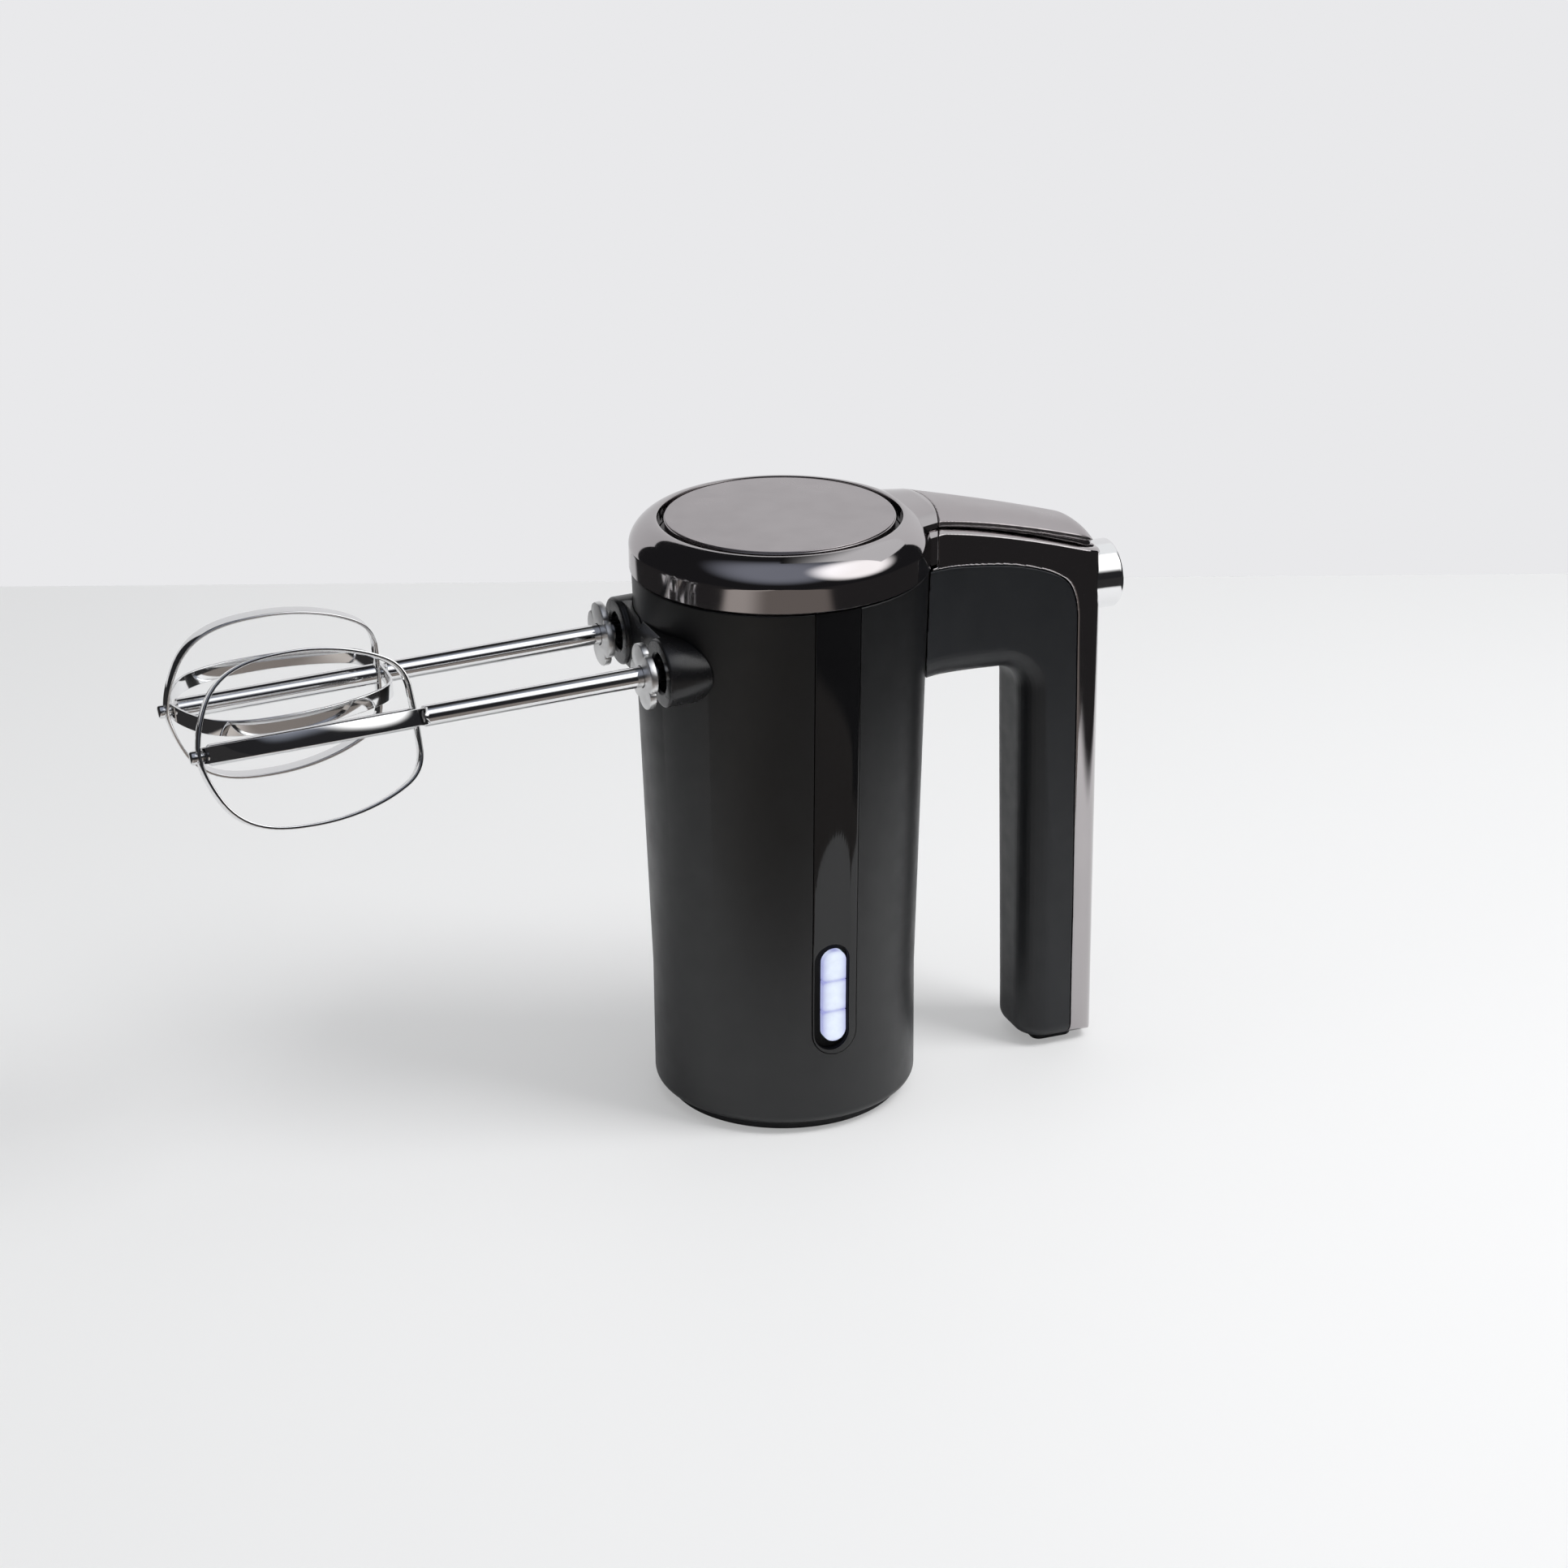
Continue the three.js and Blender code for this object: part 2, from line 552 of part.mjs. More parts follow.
// Closed sections with the same number of points, joined one to the next.
function lofted(sections) {
  const count = sections[0].length;
  const faces = [];
  for (let i = 0; i + 1 < sections.length; i++) {
    for (let j = 0; j < count; j++) {
      const [a, b] = [i * count + j, i * count + (j + 1) % count];
      faces.push(a, b, b + count, a, b + count, a + count);
    }
  }
  const last = (sections.length - 1) * count;
  for (let j = 1; j + 1 < count; j++) faces.push(0, j + 1, j, last, last + j, last + j + 1);
  const geometry = new THREE.BufferGeometry();
  geometry.setAttribute('position', new THREE.Float32BufferAttribute(sections.flat(2), 3));
  geometry.setIndex(faces);
  return toManifold(geometry);
}

// The whole outer form of the handle, before it is divided into its pieces.
function handleBlank() {
  return common(gripRun(), planSlab(planOutline(28), -10, ringTop + 20), underTop(-10));
}

// Lines that divide the handle, seen from the side: x from the ring to the back of the leg.
function coverLine(offset) {
  const points = [];
  for (const share of [-0.4, 0, 0.2, 0.4, 0.6, 0.8, 0.95, 1.1]) {
    const x = THREE.MathUtils.lerp(ringRadius, legBack, share);
    points.push([x, coverEdge(x) + offset]);
  }
  return points;
}

function gripLine(offset) {
  const run = spineFront - ringRadius;
  const curve = new THREE.SplineCurve([
    [-0.4, 0.5], [0, 1.1], [0.26, 2.7], [0.54, 5.1], [0.78, 8.9], [0.92, 13.3], [0.98, 19.1], [1, 26.1],
  ].map(([share, drop]) => new THREE.Vector2(ringRadius + run * share, bodyHeight - drop)));
  const points = curve.getPoints(18).map(p => [p.x, p.y + offset]);
  points.forEach((p, i) => { p[0] += offset * i / points.length; });
  return points;
}

function handleRegions() {
  const high = ringTop + 20;
  const far = legBack + 20;
  const cover = polygon([...coverLine(gap / 2), [far, coverLine(gap / 2).at(-1)[1]], [far, high], [0, high]]);
  const lower = gripLine(gap / 2);
  const spine = polygon([...lower, [spineFront + legTaper / 2 + gap / 2, -10], [far, -10],
    [far, coverLine(-gap / 2).at(-1)[1]], ...coverLine(-gap / 2).reverse()]);
  const upper = gripLine(-gap / 2);
  const grip = polygon([...upper, [spineFront + legTaper / 2 - gap / 2, -10], [0, -10], [0, upper[0][1]]]);
  return { cover, spine, grip };
}

const recessDepth = 13.5;            // pocket that guides the eject button

// Hollow for the carrier, in side view: along the arm, then down the leg.
const hollowEnd = 10;
function hollow(inset) {
  const [low, high] = [cavityLow + inset, cavityHigh - inset];
  const front = legFront + 6 + inset;
  const back = legBack - 5 - inset;
  const armEnd = legBack - recessDepth - inset;
  const ledge = cavityLow - 1.5 - inset;
  return polygon([[20, low], [front, low], [front, hollowEnd + inset], [back, hollowEnd + inset],
    [back, ledge], [armEnd, ledge], [armEnd, high], [20, high]]);
}

const alongX = (solid, x, z) => aimed(solid, new THREE.Vector3(x, 0, z), new THREE.Vector3(1, 0, 0));
const recessFloor = legBack - recessDepth;
const guideThickness = 2.2;

function handleParts() {
  const blank = handleBlank();
  const clearOfBody = cut(blank, bodyFill(gap), rod(ringRadius + gap, bodyHeight - 1, 400, bodySegments));
  const { cover, spine, grip } = handleRegions();
  const cavity = sideSlab(hollow(0), cavityHalfWidth);
  const recess = alongX(rod(buttonRadius + 0.4, 0, 40, 40), recessFloor, buttonZ);
  const outsideTongue = rod(tongueRadius + gap, bodyHeight, 400, bodySegments);
  const screwHoles = handleScrews(screwRadius + gap, headRadius + gap);
  const slab = shape => sideSlab(shape, 40);
  piece('handle_cover', cut(common(clearOfBody, slab(cover)), outsideTongue), 'gunmetal');
  piece('handle_spine', cut(common(clearOfBody, slab(spine)), cavity, recess, outsideTongue), 'darkChrome');
  piece('handle_grip', cut(common(clearOfBody, slab(grip)), cavity, recess, ...screwHoles), 'gripBlack');

  const pad = roundedPlate(legFront + 6.5, legBack - 7, legHalfWidth - 6.2, 3);
  piece('handle_foot', planSlab(pad, 0, legEnd - gap), 'rubber');

  const beam = cut(sideSlab(hollow(gap), cavityHalfWidth - gap), bodyFill(-shellWall - 2),
    rod(saddleInner + 0.5, 0, 400, 64));
  const saddle = common(cut(bodyFill(-shellWall - gap), rod(saddleInner, 0, 400, 64)),
    block(20, 60, -18, 18, cavityLow - 4, bodyHeight - ringSkirt - gap));
  const channel = block(20, recessFloor + 20, -5.6, 5.6, buttonZ - 8, buttonZ + 8);
  const mouth = alongX(rod(rodRadius + gap, 0, 30, 24), 30, buttonZ);
  const wire = block(legFront + 9, legBack - 8, -5.6, 5.6, -5, cavityLow + 12);
  const rodWay = cut(channel, rod(saddleOuter + 3, 0, 400, 64));
  piece('handle_core', cut(join(beam, saddle), rodWay, mouth, wire, ...screwHoles), 'innerPlastic');
  handleScrews(screwRadius, headRadius).forEach((screw, i) =>
    piece(`handle_screw_${i + 1}`, screw, 'steel'));
}

// ---------------------------------------------------------------- eject button
const buttonEnd = legBack + buttonReach;
const buttonRim = recessFloor + guideThickness + gap + buttonTravel + 0.6;
const buttonInside = buttonEnd - 3;
const crossbarX = 26;

function coilSpring(radius, wire, from, to, turns) {
  class Helix extends THREE.Curve {
    getPoint(t, target = new THREE.Vector3()) {
      const angle = 2 * Math.PI * turns * t;
      return target.set(from + wire + (to - from - 2 * wire) * t,
        radius * Math.cos(angle), radius * Math.sin(angle));
    }
  }
  const section = new THREE.Shape();
  section.absarc(0, 0, wire, 0, 2 * Math.PI);
  const options = { steps: turns * 10, extrudePath: new Helix(), bevelEnabled: false, curveSegments: 3 };
  return toManifold(new THREE.ExtrudeGeometry(section, options)).translate([0, 0, buttonZ]);
}

function ejectParts() {
  const guide = turned([[rodRadius + gap, 0], [buttonRadius, 0], [buttonRadius, guideThickness],
    [rodRadius + gap, guideThickness], [rodRadius + gap, 0]], 28);
  piece('button_guide', alongX(guide, recessFloor + gap, buttonZ), 'innerPlastic');
  const length = buttonEnd - buttonRim;
  const depth = buttonInside - buttonRim;
  const cap = turned([[buttonRadius - 1.8, 0], [buttonRadius, 0], [buttonRadius, length - 1.6],
    [buttonRadius - 0.5, length - 0.5], [buttonRadius - 1.6, length], [0, length], [0, depth],
    [buttonRadius - 1.8, depth], [buttonRadius - 1.8, 0]], 40);
  piece('eject_button', alongX(cap, buttonRim, buttonZ), 'chrome');

  const prongZ = axisZ + 20 * socketSlope;
  const long = alongX(rod(rodRadius, 0, buttonInside - gap - crossbarX, 20), crossbarX, buttonZ);
  const bar = block(crossbarX, crossbarX + 4, -halfSpacing - 3, halfSpacing + 3, buttonZ - 4.5, buttonZ + 3);
  const prongStart = stemEnd + 0.8;
  const prongs = [1, -1].map(side =>
    moved(alongX(rod(2.1, 0, crossbarX + 1 - prongStart, 16), prongStart, prongZ), 0, side * halfSpacing, 0));
  piece('eject_rod', join(long, bar, ...prongs), 'nylon');
  piece('eject_spring', coilSpring(5.6, 0.6, recessFloor + gap + guideThickness + gap, buttonInside - gap, 5),
    'steel');
}

// ---------------------------------------------------------------- motor
function motorParts() {
  const can = turned([[motorRadius - motorWall, motorBottom], [motorRadius, motorBottom],
    [motorRadius, motorTop], [3.5, motorTop], [3.5, motorTop - 2], [motorRadius - motorWall, motorTop - 2],
    [motorRadius - motorWall, motorBottom]], 32);
  const holes = motorScrews(screwRadius + gap, headRadius + gap);
  piece('motor_can', cut(can, ...holes), 'steel');
  const bore = motorShaftRadius + gap;
  const capOuter = motorRadius - motorWall - gap;
  piece('motor_end_cap', ringSolid(bore, capOuter, motorBottom, motorBottom + 3, 28), 'innerPlastic');
  const low = motorBottom + 3 + gap;
  const high = motorTop - 8;
  piece('motor_magnet', ringSolid(capOuter - 3.4, capOuter, low, high, 28), 'innerPlastic');
  const coreLow = low + 3;
  const coreHigh = high - 3;
  piece('motor_rotor', ringSolid(bore, capOuter - 3.4 - 2 * gap, coreLow, coreHigh, 28), 'brass');
  piece('motor_shaft', rod(motorShaftRadius, fanBottom, frameTop + 1, 20), 'steel');
  const floor = rod(fanRadius, fanBottom, fanBottom + 1.4, 32);
  const hub = rod(5, fanBottom, fanBottom + fanHeight, 20);
  const blades = [...Array(8)].map((_, i) => place(
    block(4, fanRadius - 0.5, -0.7, 0.7, fanBottom, fanBottom + fanHeight),
    new THREE.Matrix4().makeRotationZ(i * Math.PI / 4)));
  piece('cooling_fan', cut(join(floor, hub, ...blades), rod(bore, 0, 400, 20)), 'innerPlastic');
}

// ---------------------------------------------------------------- gearbox
// Height of the worm's thread above its root, as a share, at a phase counted in turns.
function threadHeight(phase) {
  const offCrest = Math.abs(phase - Math.floor(phase) - 0.5);
  return 1 - THREE.MathUtils.smoothstep(offCrest, 0.15, 0.33);
}

function wormSolid() {
  const root = wormPitchRadius - toothAddendum - toothRootClearance;
  const [low, high] = [axisZ - wormHalf, axisZ + wormHalf];
  const rows = 34;
  const outline = [new THREE.Vector2(0, low)];
  for (let i = 0; i <= rows; i++) outline.push(new THREE.Vector2(root, low + (high - low) * i / rows));
  outline.push(new THREE.Vector2(0, high));
  const geometry = new THREE.LatheGeometry(outline, 14).rotateX(Math.PI / 2);
  const spots = geometry.attributes.position;
  for (let i = 0; i < spots.count; i++) {
    const [x, y, z] = [spots.getX(i), spots.getY(i), spots.getZ(i)];
    if (Math.hypot(x, y) < 0.1) continue;
    const turn = Math.atan2(y, x) / (2 * Math.PI);
    const atEnd = Math.min(z - low, high - z) < 0.4;
    const phase = (z - axisZ) / wormLead - turn + 0.25;
    const radius = root + (atEnd ? 0 : (2 * toothAddendum + toothRootClearance) * threadHeight(phase));
    spots.setXY(i, radius * x / Math.hypot(x, y), radius * y / Math.hypot(x, y));
  }
  return cut(toManifold(geometry), rod(motorShaftRadius + gap, 0, 400, 20));
}

function wheelSolid(side) {
  const pitch = 2 * Math.PI / wheelTeeth;
  const root = wheelPitchRadius - toothAddendum - toothRootClearance;
  const points = [];
  const start = side > 0 ? Math.PI : pitch / 2;
  for (let i = 0; i < wheelTeeth; i++) {
    const middle = start + i * pitch;
    for (const [share, radius] of [[-0.24, root], [-0.085, wheelOuter], [0.085, wheelOuter], [0.24, root]]) {
      points.push([radius * Math.cos(middle + share * pitch), radius * Math.sin(middle + share * pitch)]);
    }
  }
  const options = { depth: wheelWidth, bevelEnabled: false };
  const geometry = new THREE.ExtrudeGeometry(polygon(points), options).translate(0, 0, -wheelWidth / 2);
  const leadSlope = wormLead / (2 * Math.PI * wormPitchRadius);
  const spots = geometry.attributes.position;
  for (let i = 0; i < spots.count; i++) {
    const turn = spots.getZ(i) * (leadSlope + side * socketSlope) / wheelPitchRadius;
    const [u, v] = [spots.getX(i), spots.getY(i)];
    spots.setXY(i, u * Math.cos(turn) - v * Math.sin(turn), u * Math.sin(turn) + v * Math.cos(turn));
  }
  const hub = rod(spindleRadius + 3, -5, 5, 24);
  const wheel = cut(join(toManifold(geometry), hub), rod(spindleRadius + gap, -20, 20, 24));
  // Local x, y, z of the wheel become the machine's y, z and tilted x.
  const basis = new THREE.Matrix4().makeBasis(new THREE.Vector3(0, 1, 0),
    new THREE.Vector3(-Math.sin(beaterTilt), 0, Math.cos(beaterTilt)),
    new THREE.Vector3(Math.cos(beaterTilt), 0, Math.sin(beaterTilt)));
  basis.setPosition(0, side * halfSpacing, axisZ);
  return place(wheel, basis);
}

const behindFace = x => -(x - socketFace) / Math.cos(beaterTilt);
const stemEnd = 8;                                       // x where the beater stems end

function frameSolid() {
  const plateRadius = bodyRadius(frameFloor) - shellWall - seat;
  const plate = rod(plateRadius, frameFloor, frameFloorTop, 56);
  const wallHalf = Math.min(34, Math.sqrt((plateRadius - 1) ** 2 - (frontWall - 1) ** 2));
  const front = block(frontWall, frontWall + frameWall, -wallHalf, wallHalf, frameFloor, frameTop);
  const rear = block(rearWall, rearWall + frameWall, -wallHalf, wallHalf, frameFloor, frameTop);
  const bridge = block(frontWall, rearWall + frameWall, -6, 6, frameTop - 3, frameTop);
  const bearing = rod(bearingRadius + gap, 0, 400, 24);
  const seats = Object.values(sides).map(side =>
    alongSpindle(rod(spindleRadius + bushWall + gap, -90, 0, 24), side));
  return cut(join(plate, front, rear, bridge), bearing, ...seats,
    ...motorScrews(screwRadius + gap, headRadius + gap));
}

const bearingRadius = 4.6;
function gearboxParts() {
  piece('gearbox_frame', frameSolid(), 'innerPlastic');
  motorScrews(screwRadius, headRadius).forEach((screw, i) => piece(`motor_screw_${i + 1}`, screw, 'steel'));
  const bore = motorShaftRadius + gap;
  piece('motor_bearing', ringSolid(bore, bearingRadius, frameFloor + gap, frameFloorTop), 'brass');
  piece('worm_bush', ringSolid(bore, bearingRadius, frameTop - 3, frameTop), 'brass');
  piece('worm', wormSolid(), 'steel');
  for (const [name, side] of Object.entries(sides)) {
    piece(`worm_wheel_${name}`, wheelSolid(side), 'nylon');
    const tube = ringSolid(spindleRadius - spindleWall, spindleRadius,
      behindFace(rearWall + frameWall + 1), -3.4);
    piece(`spindle_${name}`, alongSpindle(tube, side), 'steel');
    for (const [end, wall] of [['front', frontWall], ['rear', rearWall]]) {
      const middle = behindFace(wall + frameWall / 2);
      const bush = ringSolid(spindleRadius + gap, spindleRadius + bushWall,
        middle - bushLength / 2, middle + bushLength / 2);
      piece(`spindle_bush_${name}_${end}`, alongSpindle(bush, side), 'brass');
    }
  }
}

// ---------------------------------------------------------------- sockets and beaters
function bossSolid() {
  const outward = Object.values(sides).map(side => alongSpindle(rod(bossRadius, -24, 0, 36), side));
  const web = block(socketFace + webRecess, -20, -halfSpacing, halfSpacing,
    spindleZ - bossRadius + 1.2, spindleZ + bossRadius - 0.2);
  const outside = cut(join(...outward, web), bodyFill(gap));
  const sleeves = Object.values(sides).map(side => alongSpindle(rod(bossSleeve, -19, -2, 28), side));
  const bores = Object.values(sides).map(side => alongSpindle(rod(socketBore, -60, 10, 28), side));
  return cut(join(outside, ...sleeves), ...bores);
}

// Half outline of a loop: distance along the shaft and radius, from the crimp to the tip.
function loopOutline(start, end, radius) {
  const at = (share, rise) => [start + share * (end - start), rise * radius];
  const half = new THREE.Path();
  half.moveTo(...at(0, 0));
  half.lineTo(...at(0.004, 0.38));
  half.bezierCurveTo(...at(0.01, 0.53), ...at(0.036, 0.645), ...at(0.086, 0.727));
  half.bezierCurveTo(...at(0.173, 0.864), ...at(0.331, 1), ...at(0.519, 1));
  half.bezierCurveTo(...at(0.706, 1), ...at(0.872, 0.94), ...at(0.95, 0.473));
  half.bezierCurveTo(...at(0.977, 0.32), ...at(0.997, 0.15), ...at(1, 0));
  return half.getPoints(5).filter((p, i, all) => i === 0 || p.distanceTo(all[i - 1]) > 1e-3);
}

function loopSolid(start, end, radius) {
  const outerHalf = loopOutline(start, end, radius);
  const mirror = points => points.slice(1, -1).reverse().map(p => new THREE.Vector2(p.x, -p.y));
  const closed = points => [...points, ...mirror(points)];
  const outer = closed(outerHalf);
  const inner = outer.map((p, i) => {
    const before = outer[(i + outer.length - 1) % outer.length];
    const after = outer[(i + 1) % outer.length];
    const run = after.clone().sub(before).normalize();
    return new THREE.Vector2(p.x + run.y * stripThickness, p.y - run.x * stripThickness);
  });
  const shape = new THREE.Shape(outer);
  shape.holes.push(new THREE.Path(inner.reverse()));
  const options = { depth: stripWidth, bevelEnabled: false };
  const strip = new THREE.ExtrudeGeometry(shape, options).translate(0, 0, -stripWidth / 2);
  // Drawn along x with its radius on y: stand it on the local z axis.
  return toManifold(strip.rotateY(-Math.PI / 2));
}

function collarSolid() {
  const points = [];
  for (let i = 0; i < 40; i++) {
    const angle = i * Math.PI / 20;
    const radius = collarRadius - 2.6 + 2.6 * Math.cos(4 * angle);
    points.push([radius * Math.cos(angle), radius * Math.sin(angle)]);
  }
  return cut(planSlab(polygon(points), collarOffset, collarOffset + collarThickness),
    rod(shaftRadius + gap, -50, 50, 24));
}

function beaterParts() {
  const loopEnd = beaterReach - pegLength;
  const inset = stripThickness + 2 * gap;              // from one loop to the loop inside it
  const strips = inset + stripThickness + gap;         // shaft shoulder to the outer loop
  const outline = [[0, behindFace(stemEnd)], [shaftRadius, behindFace(stemEnd)],
    [shaftRadius, loopStart - gap], [neckRadius, loopStart - gap], [neckRadius, loopStart + strips],
    [shaftRadius, loopStart + strips], [shaftRadius, loopEnd - strips - 2 * gap],
    [neckRadius, loopEnd - strips - 2 * gap],
    [neckRadius, loopEnd + gap], [pegRadius, loopEnd + gap], [pegRadius, beaterReach - 0.5],
    [pegRadius - 0.5, beaterReach], [0, beaterReach]];
  const bore = rod(neckRadius + gap, -200, 200, 20);
  for (const [name, side] of Object.entries(sides)) {
    // Local z runs towards the tip and local y starts as the machine's y.
    const across = new THREE.Vector3(0, 1, 0);
    const up = new THREE.Vector3().crossVectors(across, spindleTip);
    const local = new THREE.Matrix4().makeBasis(up, across, spindleTip.clone());
    const phase = THREE.MathUtils.degToRad(beaterPhase[name]);
    local.multiply(new THREE.Matrix4().makeRotationZ(-phase * Math.sign(up.z)));
    local.setPosition(spindlePoint(side, 0));
    const quarter = new THREE.Matrix4().makeRotationZ(Math.PI / 2);
    const flat = cut(loopSolid(loopStart, loopEnd - inset, loopRadius), bore);
    const upright = cut(loopSolid(loopStart + inset, loopEnd, loopRadius), bore);
    piece(`beater_${name}_shaft`, place(turned(outline, 24), local), 'chrome');
    piece(`beater_${name}_collar`, place(collarSolid(), local), 'chrome');
    piece(`beater_${name}_loop_flat`, place(flat, local), 'chrome');
    piece(`beater_${name}_loop_upright`, place(place(upright, quarter), local), 'chrome');
  }
}

// ---------------------------------------------------------------- assembly
piece('body_shell', bodyShell(), 'matteBlack');
baseParts();
batteryParts();
boardParts();
inlayParts();
motorParts();
gearboxParts();
piece('beater_boss', bossSolid(), 'matteBlack');
beaterParts();
topParts();
handleParts();
ejectParts();

export default mixer;
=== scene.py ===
"""Looks of a cordless hand mixer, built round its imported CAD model.

Sizes are in millimetres until a mesh is made, and the mesh is in metres.
+Z is up, the beaters point to -X, the handle is on +X and the indicator faces -Y.
"""
import json
from math import cos, exp, pi, radians, sin, sqrt

import bmesh
import bpy
from mathutils import Matrix, Vector

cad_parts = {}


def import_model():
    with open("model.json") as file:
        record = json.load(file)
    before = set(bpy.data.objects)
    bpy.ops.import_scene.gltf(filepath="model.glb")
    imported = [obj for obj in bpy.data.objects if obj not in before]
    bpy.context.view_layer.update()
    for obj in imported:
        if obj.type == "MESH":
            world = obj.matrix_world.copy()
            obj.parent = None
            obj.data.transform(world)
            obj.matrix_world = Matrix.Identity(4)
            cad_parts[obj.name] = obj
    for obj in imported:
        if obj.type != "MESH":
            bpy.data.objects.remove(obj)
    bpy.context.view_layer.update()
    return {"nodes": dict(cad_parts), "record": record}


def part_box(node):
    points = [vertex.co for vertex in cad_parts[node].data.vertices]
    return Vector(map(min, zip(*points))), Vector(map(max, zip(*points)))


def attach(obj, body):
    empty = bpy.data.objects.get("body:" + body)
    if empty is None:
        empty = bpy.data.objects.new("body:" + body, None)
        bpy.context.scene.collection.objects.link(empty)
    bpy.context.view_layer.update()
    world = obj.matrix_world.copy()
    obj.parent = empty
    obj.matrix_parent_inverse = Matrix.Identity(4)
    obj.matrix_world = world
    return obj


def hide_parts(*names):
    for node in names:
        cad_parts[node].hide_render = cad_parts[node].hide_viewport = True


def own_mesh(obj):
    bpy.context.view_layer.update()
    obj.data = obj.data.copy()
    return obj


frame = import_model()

scene = bpy.context.scene

# -------- sizes, from the frame
MM = 0.001


def box(node):
    """Lowest and highest corners of a CAD node, in millimetres."""
    low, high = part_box(node)
    return low / MM, high / MM


shell_low, shell_high = box("body_shell")
ring_low, ring_high = box("top_ring")
dial_low, dial_high = box("speed_dial")
foot_low, foot_high = box("foot_pad")
spine_low, spine_high = box("handle_spine")
button_low, button_high = box("eject_button")
coil_low, coil_high = box("eject_spring")
pad_low, pad_high = box("handle_foot")
boss_low, boss_high = box("beater_boss")
lens_low, lens_high = box("led_lens")
port_low, port_high = box("charge_socket")

gap = 0.3  # clearance between pieces that touch
body_height = shell_high.z  # top edge of the shell in the CAD
body_top_radius = shell_high.y
body_base_radius = 43.0
taper_start = 44.0  # height where the shell begins to widen
shell_wall = 2.2
shell_edge = 3.2  # rounded bottom edge
shell_brim = 0.5  # rounded top edge, above the CAD's
shell_top = body_height + shell_brim
ring_radius = -ring_low.x
tongue_radius = ring_high.x  # where the ring meets the handle
ring_top = ring_high.z
ring_base = body_height + 1.2  # a thin shadow gap is left under the ring
ring_band = 7.7  # height of the upright band of the ring
ring_wall = 2.4
lip_drop = 0.65  # inner edge of the ring, below the ring's CAD top
lip_radius = 38.8  # inner edge of the ring, round the dial
seat_floor = ring_top - 9.5  # floor of the groove round the dial
dial_radius = dial_high.x
dial_top = dial_high.z
dial_hub = 3.0
leg_back = spine_high.x
leg_end = spine_low.z - 0.9  # a little below the CAD leg, so that its foot hardly shows
leg_front = leg_back - 27.8
leg_half_width = 13.8
leg_taper = 1.4
leg_end_round = 5.0
spine_front = leg_back - 11.4
arm_underside = body_height - 41.5
arm_rise = 1.8  # the arm is that much thinner at the body
root_flare = 6.4  # and that much wider to each side
inner_corner = 9.0
grip_round = 9.2
handle_start = 28.0  # inside the body, where the handle's outlines begin
button_z = (button_low.z + button_high.z) / 2
button_radius = (button_high.z - button_low.z) / 2
carrier_low, carrier_high = arm_underside + 11, button_z + 11.4  # room inside the arm
carrier_half = 8.3
beater_tilt = radians(2.05)
boss_radius = 11.0
socket_face = boss_low.x + boss_radius * sin(beater_tilt)
socket_z = body_height - 21.9
half_spacing = (boss_high.y - boss_low.y) / 2 - boss_radius
inlay_half_width = 7.5
inlay_bottom = box("inlay_strip")[0].z
inlay_bearing = radians(1.2)  # turned a little to the right of straight ahead
lens_half_width = 4.0
lens_bottom, lens_top = lens_low.z + 1.2, lens_high.z - 1.6
recess_half = 6.3  # sunk panel round the lens
recess_shift = -1.1  # it reaches further on the left
recess_low, recess_high = lens_bottom - 3.0, lens_top + 3.0
recess_depth = 1.9

# how far cutting tools reach
under, over, sky = -10.0, ring_top + 20, 400.0
wide = 40.0


# -------- mesh tools
def given(thing, **settings):
    """The thing, with these attributes set."""
    for name, value in settings.items():
        setattr(thing, name, value)
    return thing


def put(name, data):
    """A new object in the scene."""
    obj = bpy.data.objects.new(name, data)
    scene.collection.objects.link(obj)
    return obj


def mesh_object(name, points, faces):
    mesh = bpy.data.meshes.new(name)
    mesh.from_pydata([tuple(c * MM for c in p) for p in points], [], faces)
    mesh.validate()
    fix = bmesh.new()
    fix.from_mesh(mesh)
    bmesh.ops.recalc_face_normals(fix, faces=fix.faces)
    fix.to_mesh(mesh)
    fix.free()
    return put(name, mesh)


def turned(name, profile, steps, turn=None):
    """A profile of (radius, z) turned about Z. It ends on the axis or closes on itself."""
    full = turn is None
    start, end = (0, 2 * pi) if full else turn
    columns = steps if full else steps + 1
    closed = profile[0] == profile[-1]
    rows = profile[:-1] if closed else profile
    points, index = [], []
    for radius, z in rows:
        if radius < 1e-6:
            index.append([len(points)] * columns)
            points.append((0, 0, z))
            continue
        index.append(list(range(len(points), len(points) + columns)))
        for i in range(columns):
            a = start + (end - start) * i / steps
            points.append((radius * cos(a), radius * sin(a), z))
    faces = []
    pairs = list(zip(index, index[1:])) + ([(index[-1], index[0])] if closed else [])
    for low, high in pairs:
        for i in range(steps):
            j = (i + 1) % columns
            face = [low[i], low[j], high[j], high[i]]
            face = [v for k, v in enumerate(face) if v not in face[:k]]
            if len(face) > 2:
                faces.append(face)
    if not full:
        faces += [[row[0] for row in index], [row[-1] for row in reversed(index)]]
    return mesh_object(name, points, faces)


def cylinder(radius, low, high, steps=240):
    return turned("cylinder", [(0, low), (radius, low), (radius, high), (0, high)], steps)


def slab(name, outline, low, high, to_point):
    """An outline of (u, v) with thickness from low to high. to_point places (u, v, w)."""
    count = len(outline)
    points = [to_point(u, v, w) for w in (low, high) for u, v in outline]
    faces = [[i, (i + 1) % count, count + (i + 1) % count, count + i] for i in range(count)]
    faces += [list(range(count)), list(range(2 * count - 1, count - 1, -1))]
    return mesh_object(name, points, faces)


def side_slab(outline, half_width=wide):
    """An outline of (x, z) given thickness along y."""
    return slab("side", outline, -half_width, half_width, lambda x, z, y: (x, y, z))


